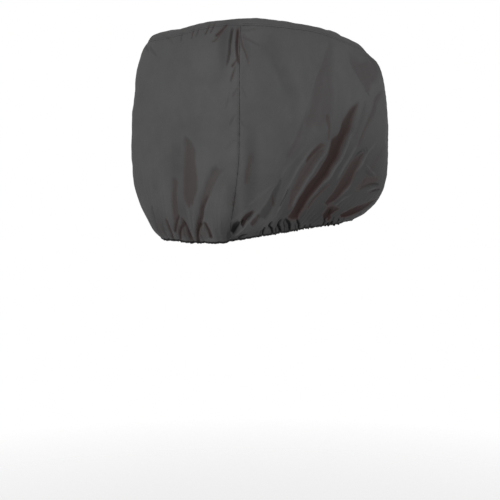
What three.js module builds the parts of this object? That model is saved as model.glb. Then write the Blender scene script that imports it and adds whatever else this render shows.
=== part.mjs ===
// Fitted hood cover for the stern of a boat: coated polyester cloth, sewn from a top panel and four wall
// panels, and drawn in at the hem by an elastic binding. It is modelled as it hangs when it is worn,
// crown up, hollow and open below. Millimetres, +Z up, +Y towards the bow, +X to starboard.
// The origin lies under the crown, on the inner side of the top panel.
import * as THREE from 'three';

// Cloth and sewing
const CLOTH_THICKNESS = 2;
const SEAM_GAP = 0.3;
const BINDING_GAP = 0.6;
const SEAM_DIP = 4;
const SEAM_DIP_WIDTH = 14;
const ELASTIC_HALF_HEIGHT = 4;
const ELASTIC_HALF_THICKNESS = 2.2;
const ELASTIC_SIDES = 6;

// Half widths of the four faces, measured round the widest section
const END_HALF = 285;
const SIDE_HALF = 408;

// Level sections from the crown to the hem. down: depth below the crown. aft, fore, side: how far the
// section reaches from the middle. power: how square its outline is, as the power of a superellipse.
// The rest tilts it: foreDrop lowers the bow end, portDrop the port quarter, peak lifts the starboard
// quarter, and hemRise lifts all but the aft end.
const SECTIONS = [
  { down: 0, aft: 0, fore: 0, side: 0, power: 3, foreDrop: 0, portDrop: 0, peak: 0, hemRise: 0 },
  { down: 1, aft: 130, fore: 120, side: 100, power: 3.2, foreDrop: 4, portDrop: 2, peak: 0, hemRise: 0 },
  { down: 4, aft: 280, fore: 236, side: 192, power: 3.8, foreDrop: 22, portDrop: 12, peak: 3, hemRise: 0 },
  { down: 11, aft: 340, fore: 290, side: 230, power: 4.6, foreDrop: 42, portDrop: 18, peak: 6, hemRise: 0 },
  { down: 30, aft: 362, fore: 316, side: 245, power: 4.8, foreDrop: 52, portDrop: 24, peak: 6, hemRise: 0 },
  { down: 90, aft: 384, fore: 364, side: 262, power: 5, foreDrop: 34, portDrop: 20, peak: 2, hemRise: 0 },
  { down: 170, aft: 396, fore: 389, side: 273, power: 5, foreDrop: 10, portDrop: 8, peak: 0, hemRise: 0 },
  { down: 280, aft: 405, fore: 402, side: 282, power: 5, foreDrop: 0, portDrop: 0, peak: 0, hemRise: 0 },
  { down: 380, aft: 410, fore: 408, side: 285, power: 4.9, foreDrop: 0, portDrop: 0, peak: 0, hemRise: 0 },
  { down: 480, aft: 410, fore: 410, side: 281, power: 4.7, foreDrop: 0, portDrop: 0, peak: 0, hemRise: 0 },
  { down: 570, aft: 398, fore: 396, side: 266, power: 4.2, foreDrop: 0, portDrop: 3, peak: 0, hemRise: 5 },
  { down: 632, aft: 378, fore: 350, side: 243, power: 3.7, foreDrop: 0, portDrop: 9, peak: 0, hemRise: 18 },
  { down: 664, aft: 354, fore: 308, side: 224, power: 3.4, foreDrop: 0, portDrop: 9, peak: 0, hemRise: 31 },
];
const SEAM_DOWN = 30;
const HEM_DOWN = 664;

// The walls are laid out flat as one strip, which runs from port to starboard over the aft face, then to
// the bow over the starboard face, and so on round. A place on it is a run along the strip and a depth.
const FACE_MIDDLES = {
  aft: 0,
  starboard: END_HALF + SIDE_HALF,
  fore: 2 * (END_HALF + SIDE_HALF),
  port: 3 * (END_HALF + SIDE_HALF),
};
const GIRTH = 4 * (END_HALF + SIDE_HALF);
const CORNER_RUNS = [
  -END_HALF,
  END_HALF,
  END_HALF + 2 * SIDE_HALF,
  3 * END_HALF + 2 * SIDE_HALF,
  GIRTH - END_HALF,
];

// The seam between the aft and starboard faces leaves its corner below this depth, and at the hem it lies
// this far round on the aft face
const SEAM_DRIFT_START = 400;
const SEAM_DRIFT = 48;
const SEAM_DRIFT_POWER = 1.6;

// Folds of the walls. line: four points from the fold's foot to its tip, each across its face from the
// face's middle, to the right as seen from outside, and down from the crown. left, right: how far the
// trough reaches on either side of the line. depth: how deep it is.
const WALL_FOLDS = [
  { face: 'aft', line: [[100, 640], [105, 540], [102, 440], [84, 350]], left: 26, right: 46, depth: 13 },
  { face: 'aft', line: [[34, 640], [38, 580], [36, 510], [30, 420]], left: 22, right: 26, depth: 8 },
  { face: 'aft', line: [[92, 650], [135, 560], [180, 490], [236, 446]], left: 20, right: 34, depth: 12 },
  { face: 'aft', line: [[-30, 655], [-14, 600], [-16, 540], [-30, 480]], left: 26, right: 26, depth: 7 },
  { face: 'aft', line: [[-120, 650], [-118, 600], [-130, 560], [-160, 520]], left: 24, right: 26, depth: 8 },
  { face: 'aft', line: [[240, 210], [250, 150], [252, 100], [256, 46]], left: 18, right: 16, depth: 8 },

  { face: 'starboard', line: [[-160, 640], [-75, 505], [45, 360], [152, 232]], left: 52, right: 38, depth: 22 },
  { face: 'starboard', line: [[0, 590], [75, 505], [130, 430], [205, 385]], left: 42, right: 36, depth: 16 },
  { face: 'starboard', line: [[-160, 560], [-125, 470], [-80, 410], [-18, 368]], left: 36, right: 32, depth: 11 },
  { face: 'starboard', line: [[-250, 590], [-232, 540], [-215, 490], [-195, 440]], left: 30, right: 30, depth: 7 },
  { face: 'starboard', line: [[-196, 440], [-110, 310], [-60, 190], [-8, 52]], left: 36, right: 84, depth: 9 },
  { face: 'starboard', line: [[118, 400], [178, 330], [250, 260], [330, 180]], left: 36, right: 36, depth: 10 },
  { face: 'starboard', line: [[245, 240], [190, 175], [140, 120], [100, 52]], left: 36, right: 90, depth: 10 },
  { face: 'starboard', line: [[40, 640], [130, 606], [215, 588], [300, 566]], left: 36, right: 34, depth: 12 },
  { face: 'starboard', line: [[170, 545], [230, 520], [290, 500], [340, 480]], left: 32, right: 32, depth: 8 },
  { face: 'starboard', line: [[-370, 560], [-376, 480], [-370, 420], [-345, 365]], left: 30, right: 34, depth: 7 },
  { face: 'starboard', line: [[-160, 250], [-205, 145], [-285, 92], [-390, 52]], left: 36, right: 40, depth: 7 },
  { face: 'starboard', line: [[-398, 645], [-375, 622], [-350, 600], [-318, 580]], left: 28, right: 32, depth: 9 },

  { face: 'fore', line: [[-120, 640], [-112, 540], [-118, 450], [-150, 360]], left: 40, right: 26, depth: 14 },
  { face: 'fore', line: [[20, 645], [30, 560], [22, 480], [-4, 410]], left: 30, right: 34, depth: 12 },
  { face: 'fore', line: [[140, 640], [150, 540], [190, 430], [230, 330]], left: 26, right: 44, depth: 15 },
  { face: 'fore', line: [[-60, 300], [-40, 220], [-70, 140], [-130, 70]], left: 50, right: 60, depth: 9 },
  { face: 'fore', line: [[120, 280], [90, 200], [110, 120], [170, 66]], left: 50, right: 44, depth: 8 },

  { face: 'port', line: [[150, 640], [80, 520], [-30, 380], [-140, 250]], left: 40, right: 52, depth: 20 },
  { face: 'port', line: [[-20, 610], [-90, 510], [-150, 430], [-220, 380]], left: 38, right: 42, depth: 14 },
  { face: 'port', line: [[220, 600], [205, 520], [180, 440], [130, 380]], left: 34, right: 34, depth: 11 },
  { face: 'port', line: [[190, 430], [110, 310], [60, 190], [20, 56]], left: 80, right: 38, depth: 9 },
  { face: 'port', line: [[-200, 300], [-230, 220], [-200, 130], [-150, 60]], left: 70, right: 40, depth: 9 },
  { face: 'port', line: [[-130, 640], [-200, 600], [-260, 560], [-320, 530]], left: 36, right: 38, depth: 11 },
  { face: 'port', line: [[330, 640], [345, 560], [335, 480], [300, 400]], left: 30, right: 30, depth: 10 },
];

// Slack folds of the top panel, in plan: each point lies to starboard and towards the bow from the crown
const TOP_FOLDS = [
  { line: [[150, -270], [90, -190], [20, -120], [-60, -80]], left: 50, right: 60, depth: 4 },
  { line: [[-150, -260], [-90, -150], [-60, -30], [-80, 80]], left: 60, right: 50, depth: 4 },
  { line: [[160, 200], [110, 110], [60, 60], [-10, 40]], left: 50, right: 60, depth: 5 },
  { line: [[-140, 190], [-80, 150], [0, 150], [70, 180]], left: 50, right: 50, depth: 4 },
];

// Shape of every fold: a low lip beside the trough, and how the trough fades out at its foot and its tip
const FOLD_STEPS = 14;
const FOLD_LIP = 0.2;
const LIP_PLACE = 1.25;
const LIP_SPREAD = 0.35;
const FOOT_FADE = 0.14;
const TIP_FADE = 0.34;
const TIP_NARROWING = 0.45;
const WALL_FADE = 26;
const TOP_FADE = 40;

// Gathers that the elastic draws into the hem, wandering in their spacing and uneven in their depth
const GATHER_COUNT = 24;
const GATHER_DEPTH = 4.5;
const GATHER_START = 565;
const GATHER_WANDER = 1.5;
const GATHER_UNEVENNESS = 0.45;

// Mesh: columns on the end faces and on the side faces, and the depths of the rows of the walls. On the
// starboard face the columns lean with the folds.
const END_COLUMNS = 20;
const SIDE_COLUMNS = 30;
const WALL_ROWS = [
  30, 44, 75, 110, 145, 180, 215, 250, 285, 320, 355, 390, 425, 460, 495, 528, 558, 585, 608, 628, 647, 664,
];
const COLUMN_LEAN = 130;
const LEAN_MIDDLE = 420;
const LEAN_SPAN = 210;
const PROBE = 0.5;

const clothMaterial = new THREE.MeshStandardMaterial({ color: 0x525252, roughness: 0.72, metalness: 0 });
const elasticMaterial = new THREE.MeshStandardMaterial({ color: 0x1d1c1c, roughness: 0.85, metalness: 0 });

function clamp(value, low, high) {
  return Math.min(high, Math.max(low, value));
}

function ease(value) {
  const x = clamp(value, 0, 1);
  return x * x * (3 - 2 * x);
}

// Index of the span of a rising list that holds a value
function spanAt(list, value) {
  let i = 0;
  while (i < list.length - 2 && value > list[i + 1]) {
    i++;
  }
  return i;
}

// The way down the cover to each section, from the crown over the shoulder along the side
const DOWNS = SECTIONS.map((section) => section.down);
const WAYS = [0];
for (let i = 1; i < SECTIONS.length; i++) {
  const out = SECTIONS[i].side - SECTIONS[i - 1].side;
  WAYS.push(WAYS[i - 1] + Math.hypot(out, DOWNS[i] - DOWNS[i - 1]));
}

function readAcross(from, to, value) {
  const i = spanAt(from, value);
  return to[i] + ((value - from[i]) / (from[i + 1] - from[i])) * (to[i + 1] - to[i]);
}

const wayOfDown = (down) => readAcross(DOWNS, WAYS, down);
const downOfWay = (way) => readAcross(WAYS, DOWNS, way);
const TOP_EDGE = wayOfDown(SEAM_DOWN);
const HEM_EDGE = wayOfDown(HEM_DOWN);

// One column of the table of sections, read as a smooth curve through its rows
function slopeAt(key, i) {
  const before = Math.max(0, i - 1);
  const after = Math.min(SECTIONS.length - 1, i + 1);
  return (SECTIONS[after][key] - SECTIONS[before][key]) / (WAYS[after] - WAYS[before]);
}

function sectionValue(key, way) {
  const i = spanAt(WAYS, way);
  const length = WAYS[i + 1] - WAYS[i];
  const t = (way - WAYS[i]) / length;
  const start = SECTIONS[i][key];
  const end = SECTIONS[i + 1][key];
  const startBend = slopeAt(key, i) * length * t * (1 - t) ** 2;
  const endBend = slopeAt(key, i + 1) * length * t * t * (1 - t);
  return start + (end - start) * t * t * (3 - 2 * t) + startBend - endBend;
}

// The smooth shape under the folds. u and v lie on the edge of the unit square, u to starboard.
function smoothPoint(u, v, way) {
  const power = sectionValue('power', way);
  const shrink = (Math.abs(u) ** power + Math.abs(v) ** power) ** (-1 / power);
  const toSide = u * shrink;
  const toBow = v * shrink;
  const reach = sectionValue(v > 0 ? 'fore' : 'aft', way);
  const tilt = sectionValue('peak', way) * ease((toSide - toBow - 0.6) / 1.1)
    + sectionValue('hemRise', way) * ease((toBow + 1.05) / 1.25)
    - sectionValue('foreDrop', way) * ease((toBow + 0.2) / 1.2)
    - sectionValue('portDrop', way) * ease((-toSide - toBow) / 1.7);
  const height = CLOTH_THICKNESS - sectionValue('down', way) + tilt;
  return new THREE.Vector3(toSide * sectionValue('side', way), toBow * reach, height);
}

// Shortest way from one run to another round the cover
function runBetween(from, to) {
  return ((((to - from + 0.5 * GIRTH) % GIRTH) + GIRTH) % GIRTH) - 0.5 * GIRTH;
}

function squareAt(run) {
  const turned = CORNER_RUNS[0] + ((run - CORNER_RUNS[0] + GIRTH) % GIRTH);
  const face = spanAt(CORNER_RUNS, turned);
  const along = (2 * (turned - CORNER_RUNS[face])) / (CORNER_RUNS[face + 1] - CORNER_RUNS[face]) - 1;
  return [[along, -1], [1, along], [-along, 1], [-1, -along]][face];
}

function smoothCover(run, way) {
  const [u, v] = squareAt(run);
  return smoothPoint(u, v, way);
}

function normalOf(surface, run, way) {
  const round = surface(run + PROBE, way).sub(surface(run - PROBE, way));
  const downward = surface(run, way + PROBE).sub(surface(run, way - PROBE));
  return downward.cross(round).normalize();
}

// The line of every fold as a smooth curve
function addPath(fold, middle) {
  const points = fold.line.map(([x, y]) => new THREE.Vector3(middle + x, y, 0));
  fold.path = new THREE.CatmullRomCurve3(points, false, 'catmullrom').getPoints(FOLD_STEPS);
}
WALL_FOLDS.forEach((fold) => addPath(fold, FACE_MIDDLES[fold.face]));
TOP_FOLDS.forEach((fold) => addPath(fold, 0));

// How far a place is from a fold's line, less than zero on its left, and how far along the line the
// nearest point lies, from 0 at the foot to 1 at the tip
function nearestOnFold(fold, x, y) {
  let nearest = { gap: Infinity, along: 0 };
  for (let i = 0; i < FOLD_STEPS; i++) {
    const start = fold.path[i];
    const dx = fold.path[i + 1].x - start.x;
    const dy = fold.path[i + 1].y - start.y;
    const px = runBetween(start.x, x);
    const py = y - start.y;
    const t = clamp((px * dx + py * dy) / (dx * dx + dy * dy), 0, 1);
    const distance = Math.hypot(px - t * dx, py - t * dy);
    if (distance < Math.abs(nearest.gap)) {
      const side = py * dx - px * dy < 0 ? -1 : 1;
      nearest = { gap: side * distance, along: (i + t) / FOLD_STEPS };
    }
  }
  return nearest;
}

function foldDepth(fold, x, y) {
  const { gap, along } = nearestOnFold(fold, x, y);
  const tip = ease((1 - along) / TIP_FADE);
  const reach = (gap < 0 ? fold.left : fold.right) * (1 - TIP_NARROWING * (1 - tip));
  const out = Math.abs(gap) / reach;
  const inside = clamp(1 - out, 0, 1);
  const trough = 0.5 * inside + 0.5 * ease(inside);
  const lip = FOLD_LIP * Math.exp(-(((out - LIP_PLACE) / LIP_SPREAD) ** 2));
  return fold.depth * tip * ease(along / FOOT_FADE) * (trough - lip);
}

function gatherDepth(run, down) {
  const turn = (2 * Math.PI * run) / GIRTH;
  const wander = GATHER_WANDER * (Math.sin(2 * turn) + Math.sin(5 * turn + 1));
  const size = 1 + GATHER_UNEVENNESS * Math.sin(7 * turn + 2);
  const drawn = ease((down - GATHER_START) / (HEM_DOWN - GATHER_START));
  return GATHER_DEPTH * size * Math.sin(GATHER_COUNT * turn + wander) * drawn;
}

// Where an upright seam runs at a given depth
function seamRun(corner, down) {
  const drop = clamp((down - SEAM_DRIFT_START) / (HEM_DOWN - SEAM_DRIFT_START), 0, 1);
  const drift = corner === 1 ? SEAM_DRIFT * drop ** SEAM_DRIFT_POWER : 0;
  return CORNER_RUNS[corner] - drift;
}

// The cloth dips into every seam
function seamDip(run, down, way) {
  let near = Math.abs(way - TOP_EDGE);
  if (down > SEAM_DOWN) {
    for (let corner = 0; corner < 4; corner++) {
      near = Math.min(near, Math.abs(runBetween(seamRun(corner, down), run)));
    }
  }
  return SEAM_DIP * (1 - Math.min(1, near / SEAM_DIP_WIDTH));
}

// Outer face of the cloth: the smooth shape, pressed in along its normal by folds, gathers and seams
function cover(run, way) {
  const down = downOfWay(way);
  const point = smoothCover(run, way);
  const wallDepth = WALL_FOLDS.reduce((sum, fold) => sum + foldDepth(fold, run, down), gatherDepth(run, down));
  const topDepth = TOP_FOLDS.reduce((sum, fold) => sum + foldDepth(fold, point.x, point.y), 0);
  const depth = wallDepth * ease((down - SEAM_DOWN) / WALL_FADE)
    + topDepth * ease((TOP_EDGE - way) / TOP_FADE)
    + seamDip(run, down, way);
  return point.addScaledVector(normalOf(smoothCover, run, way), -depth);
}

// A closed sheet of cloth. placeAt gives the run and the way of each point of a grid, or null at the crown.
function clothSheet(name, columns, rows, placeAt) {
  const outer = [];
  const inner = [];
  for (let j = 0; j <= rows; j++) {
    for (let i = 0; i <= columns; i++) {
      const place = placeAt(i, j);
      const point = place ? cover(...place) : new THREE.Vector3(0, 0, CLOTH_THICKNESS);
      const normal = place ? normalOf(cover, ...place) : new THREE.Vector3(0, 0, 1);
      outer.push(point);
      inner.push(point.clone().addScaledVector(normal, -CLOTH_THICKNESS));
    }
  }
  const half = outer.length;
  const at = (i, j) => j * (columns + 1) + i;
  const faces = [];
  const addQuad = (a, b, c, d) => faces.push(a, b, c, a, c, d);
  for (let j = 0; j < rows; j++) {
    for (let i = 0; i < columns; i++) {
      addQuad(at(i, j), at(i, j + 1), at(i + 1, j + 1), at(i + 1, j));
      addQuad(half + at(i, j), half + at(i + 1, j), half + at(i + 1, j + 1), half + at(i, j + 1));
    }
  }
  const addRim = (a, b) => addQuad(a, b, half + b, half + a);
  for (let i = 0; i < columns; i++) {
    addRim(at(i, 0), at(i + 1, 0));
    addRim(at(i + 1, rows), at(i, rows));
  }
  for (let j = 0; j < rows; j++) {
    addRim(at(0, j + 1), at(0, j));
    addRim(at(columns, j), at(columns, j + 1));
  }
  return closedMesh(name, [...outer, ...inner], faces, clothMaterial);
}

function closedMesh(name, points, faces, material) {
  const geometry = new THREE.BufferGeometry().setFromPoints(points);
  geometry.setIndex(faces);
  geometry.computeVertexNormals();
  const mesh = new THREE.Mesh(geometry, material);
  mesh.name = name;
  return mesh;
}

// Places of the columns across a face, from 0 at its left seam to 1 at its right one, with one column
// where the dip into each seam begins
function columnParts(count, half) {
  const dip = SEAM_DIP_WIDTH / (2 * half);
  const parts = [0];
  for (let i = 0; i <= count - 2; i++) {
    parts.push(dip + ((1 - 2 * dip) * i) / (count - 2));
  }
  parts.push(1);
  return parts;
}
const END_PARTS = columnParts(END_COLUMNS, END_HALF);
const SIDE_PARTS = columnParts(SIDE_COLUMNS, SIDE_HALF);

function columnRun(face, i, down) {
  const parts = face % 2 === 0 ? END_PARTS : SIDE_PARTS;
  const start = seamRun(face, down);
  const end = face === 3 ? seamRun(0, down) + GIRTH : seamRun(face + 1, down);
  const slant = COLUMN_LEAN * clamp((LEAN_MIDDLE - down) / LEAN_SPAN, -1, 1);
  const lean = face === 1 ? 4 * slant * parts[i] * (1 - parts[i]) : 0;
  return start + (end - start) * parts[i] + lean;
}

function wallPanel(name, face) {
  const columns = face % 2 === 0 ? END_COLUMNS : SIDE_COLUMNS;
  return clothSheet(name, columns, WALL_ROWS.length - 1, (i, j) => {
    const down = WALL_ROWS[j];
    let run = columnRun(face, i, down);
    if (i === 0) {
      run += SEAM_GAP;
    }
    if (i === columns) {
      run -= SEAM_GAP;
    }
    return [run, j === 0 ? TOP_EDGE + SEAM_GAP / 2 : wayOfDown(down)];
  });
}

// The top panel's grid runs from port to starboard and from the bow to aft. Its edge has the columns of
// the walls below it.
function topPanel() {
  const runOfSquare = (u, v) => {
    if (Math.abs(v) >= Math.abs(u)) {
      return v < 0 ? FACE_MIDDLES.aft + (END_HALF * u) / -v : FACE_MIDDLES.fore - (END_HALF * u) / v;
    }
    return u > 0 ? FACE_MIDDLES.starboard + (SIDE_HALF * v) / u : FACE_MIDDLES.port - (SIDE_HALF * v) / -u;
  };
  return clothSheet('top_panel', END_COLUMNS, SIDE_COLUMNS, (i, j) => {
    const u = 2 * END_PARTS[i] - 1;
    const toStarboard = columnRun(1, SIDE_COLUMNS - j, SEAM_DOWN) - FACE_MIDDLES.starboard;
    const toPort = FACE_MIDDLES.port - columnRun(3, j, SEAM_DOWN);
    const v = (toPort + ((toStarboard - toPort) * (u + 1)) / 2) / SIDE_HALF;
    const ring = Math.max(Math.abs(u), Math.abs(v));
    return ring < 1e-9 ? null : [runOfSquare(u, v), ring * (TOP_EDGE - SEAM_GAP / 2)];
  });
}

// The elastic binding: a flat oval cord, closed in a ring just under the hem of the four walls
function hemElastic() {
  const runs = [];
  for (let face = 0; face < 4; face++) {
    const columns = face % 2 === 0 ? END_COLUMNS : SIDE_COLUMNS;
    for (let i = 0; i < columns; i++) {
      runs.push(columnRun(face, i, HEM_DOWN));
    }
  }
  const points = [];
  const faces = [];
  runs.forEach((run, ring) => {
    const edge = cover(run, HEM_EDGE);
    const outward = normalOf(cover, run, HEM_EDGE);
    const downward = edge.clone().sub(cover(run, HEM_EDGE - 2)).normalize();
    const centre = edge.addScaledVector(outward, -CLOTH_THICKNESS / 2);
    centre.addScaledVector(downward, BINDING_GAP + ELASTIC_HALF_HEIGHT);
    for (let k = 0; k < ELASTIC_SIDES; k++) {
      const angle = (2 * Math.PI * k) / ELASTIC_SIDES;
      const point = centre.clone().addScaledVector(downward, -ELASTIC_HALF_HEIGHT * Math.cos(angle));
      points.push(point.addScaledVector(outward, ELASTIC_HALF_THICKNESS * Math.sin(angle)));
      const next = (k + 1) % ELASTIC_SIDES;
      const here = ring * ELASTIC_SIDES;
      const there = ((ring + 1) % runs.length) * ELASTIC_SIDES;
      faces.push(here + k, here + next, there + next, here + k, there + next, there + k);
    }
  });
  return closedMesh('hem_elastic', points, faces, elasticMaterial);
}

const hood = new THREE.Group();
hood.add(topPanel());
hood.add(wallPanel('aft_panel', 0));
hood.add(wallPanel('starboard_panel', 1));
hood.add(wallPanel('fore_panel', 2));
hood.add(wallPanel('port_panel', 3));
hood.add(hemElastic());

export default hood;
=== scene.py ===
# Fitted hood of coated charcoal cloth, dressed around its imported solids: five sewn panels with their folds,
# seams turned in, stitching and a gathered hem in its elastic binding. The tables are in millimetres, as a
# pattern maker reads them, and every point is scaled to metres once.
import math
from collections import namedtuple

import bpy
import numpy as np
from bpy.props import FloatProperty, FloatVectorProperty, PointerProperty
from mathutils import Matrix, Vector


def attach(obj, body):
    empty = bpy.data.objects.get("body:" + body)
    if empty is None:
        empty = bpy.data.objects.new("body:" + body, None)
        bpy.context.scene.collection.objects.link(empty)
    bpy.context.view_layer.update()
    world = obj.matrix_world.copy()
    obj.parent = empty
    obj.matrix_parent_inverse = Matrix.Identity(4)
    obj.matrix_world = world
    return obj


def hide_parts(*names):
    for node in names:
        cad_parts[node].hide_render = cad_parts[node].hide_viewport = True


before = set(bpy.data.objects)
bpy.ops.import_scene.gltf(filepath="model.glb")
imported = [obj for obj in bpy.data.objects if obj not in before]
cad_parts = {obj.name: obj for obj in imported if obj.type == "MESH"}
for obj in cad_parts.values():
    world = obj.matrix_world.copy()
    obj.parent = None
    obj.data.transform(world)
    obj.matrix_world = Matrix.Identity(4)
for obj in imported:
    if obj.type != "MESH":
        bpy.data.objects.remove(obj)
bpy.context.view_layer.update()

bl_info = {
    "name": "Fitted Cloth Hood",
    "version": (1, 0, 0),
    "blender": (4, 5, 0),
    "location": "View3D > Sidebar > Cloth Hood",
    "description": "Sews a fitted hood cover from its panels, with folds, stitching and an elastic hem",
    "category": "Add Mesh",
}

MM = 0.001
BODY = "root"
CLOTH_SLOT = "cover_cloth"
ELASTIC_SLOT = "hem_elastic"

# The walls as one flat strip: a run along it, from port to starboard over the aft face and so on round,
# and a drop, which is the depth below the crown and goes on as a length up over the shoulder. The half
# widths of the faces are measured round the widest section.
END_HALF = 285.0
SIDE_HALF = 408.0
GIRTH = 4 * (END_HALF + SIDE_HALF)
FACE_ORDER = ["aft", "starboard", "fore", "port"]
FACE_HALVES = dict(zip(FACE_ORDER, 2 * [END_HALF, SIDE_HALF]))
FACE_MIDDLES = {face: k * (END_HALF + SIDE_HALF) for k, face in enumerate(FACE_ORDER)}
CORNER_RUNS = np.array([FACE_MIDDLES[face] - FACE_HALVES[face] for face in FACE_ORDER] + [GIRTH - END_HALF])
SEAM_DOWN = 30.0
HEM_DOWN = 664.0

# Level sections from the crown to the hem. down: depth below the crown. aft, fore, side: how far the
# section reaches from the middle. power: how square its outline is. The rest tilts it.
Section = namedtuple("Section", "down aft fore side power fore_drop port_drop peak hem_rise")
SECTIONS = [
    Section(0, 0, 0, 0, 3, 0, 0, 0, 0),
    Section(1, 130, 120, 100, 3.2, 4, 2, 0, 0),
    Section(4, 280, 236, 192, 3.8, 22, 12, 3, 0),
    Section(11, 340, 290, 230, 4.6, 42, 18, 6, 0),
    Section(30, 362, 320, 245, 4.8, 50, 24, 6, 0),
    Section(90, 384, 364, 262, 5, 27, 20, 2, 0),
    Section(170, 396, 389, 273, 5, 10, 8, 0, 0),
    Section(280, 405, 402, 282, 5, 0, 0, 0, 0),
    Section(380, 410, 408, 285, 4.9, 0, 0, 0, 0),
    Section(480, 410, 410, 281, 4.7, 0, 0, 0, 0),
    Section(570, 398, 396, 266, 4.2, 0, 3, 0, 5),
    Section(632, 378, 350, 243, 3.7, 0, 9, 0, 18),
    Section(664, 354, 308, 224, 3.4, 0, 9, 0, 31),
]
CROWN_RISE = 2.0

# Tilts of a section, as shares of its reach: where each one starts and how much further on it is full
PEAK_TILT = (0.6, 1.1)
HEM_TILT = (-1.05, 1.25)
FORE_TILT = (-0.2, 1.2)
PORT_TILT = (0.0, 1.7)

# How much higher the hem lies than its section, at one run after another along the strip
HEM_LIFTS = [
    (-202, 0), (-96, -3), (-30, -5), (88, -5), (164, -4), (224, -2), (263, 4), (285, 6), (351, 4), (409, 3),
    (463, 4), (513, 6), (560, 2), (621, -4), (685, -3), (763, -3), (851, -1), (973, -1), (1060, 0),
]
HEM_LIFT_START = 560.0

# The seam between the aft and starboard faces drifts onto the aft face towards the hem
SEAM_DRIFT_START = 400.0
SEAM_DRIFT = 48.0
SEAM_DRIFT_POWER = 1.6

# Folds. rim: where the wide wall of a fold starts. low: its bottom. Both run from its foot to its tip, with
# points measured to the right of the face's middle and down from the crown. short: reach of its other wall.
# depth: how deep, or how high a ridge stands if it is negative. crisp: 0 for a soft hollow, 1 for a pressed
# crease. worn: how much painted shade, tinted brown, lies on its walls. dark: how much near-black
# painted shade lies on them, where little light reaches. pale: how much painted highlight they have.
Fold = namedtuple("Fold", "face rim low short depth crisp worn dark pale", defaults=[0.0])
CREASE_ENDS = (0.6, 0.3)
RIDGE_CRISP = 0.6
NOTCH_CRISP = 0.6
PUCKER_CRISP = 0.4
TUCK_CRISP = 0.7

# A tuck's line: how far down its foot and its knee are, how far its tip is above its height, and the shares
# of its lean that its foot and its middle have
TUCK_FOOT = 680.0
TUCK_KNEE = 656.0
TUCK_TIP = 12.0
TUCK_FOOT_LEAN = 0.1
TUCK_MIDDLE_LEAN = 0.4


def crease(face, line, width, short, depth, crisp, worn, dark=0.0, pale=0.0):
    """A fold from its bottom line alone, its rim the width to the right, or to the left if it is negative"""
    low = np.array(line, float)
    ahead = np.gradient(low, axis=0)
    aside = np.stack([-ahead[:, 1], ahead[:, 0]], 1) / np.linalg.norm(ahead, axis=1)[:, None]
    share = np.ones((len(low), 1))
    share[[0, -1], 0] = CREASE_ENDS
    return Fold(face, low + aside * share * width, low, short, depth, crisp, worn, dark, pale)


def ridge(face, line, half, height, pale):
    """A thin ridge of taut cloth between two folds, with painted highlight along it"""
    return crease(face, line, half, half, -height, RIDGE_CRISP, 0.0, 0.0, pale)


def notch(face, line, half, depth, dark):
    """A small notch between gathers, darkened with near-black painted shade"""
    return crease(face, line, half, half, depth, NOTCH_CRISP, 0.0, dark)


def pucker(face, line, half, depth, worn):
    """A short stroke that the thread of a seam draws in"""
    return crease(face, line, half, half, depth, PUCKER_CRISP, worn)


def tuck(face, across, half, height, lean, depth, dark):
    """A tuck that the elastic draws into the hem, up to a height, with its tip a lean to the right"""
    top = HEM_DOWN - height
    line = [
        (across - TUCK_FOOT_LEAN * lean, TUCK_FOOT),
        (across, TUCK_KNEE),
        (across + TUCK_MIDDLE_LEAN * lean, 0.5 * (TUCK_KNEE + top)),
        (across + lean, top - TUCK_TIP),
    ]
    return crease(face, line, half, half, depth, TUCK_CRISP, 0.0, dark)


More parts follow.
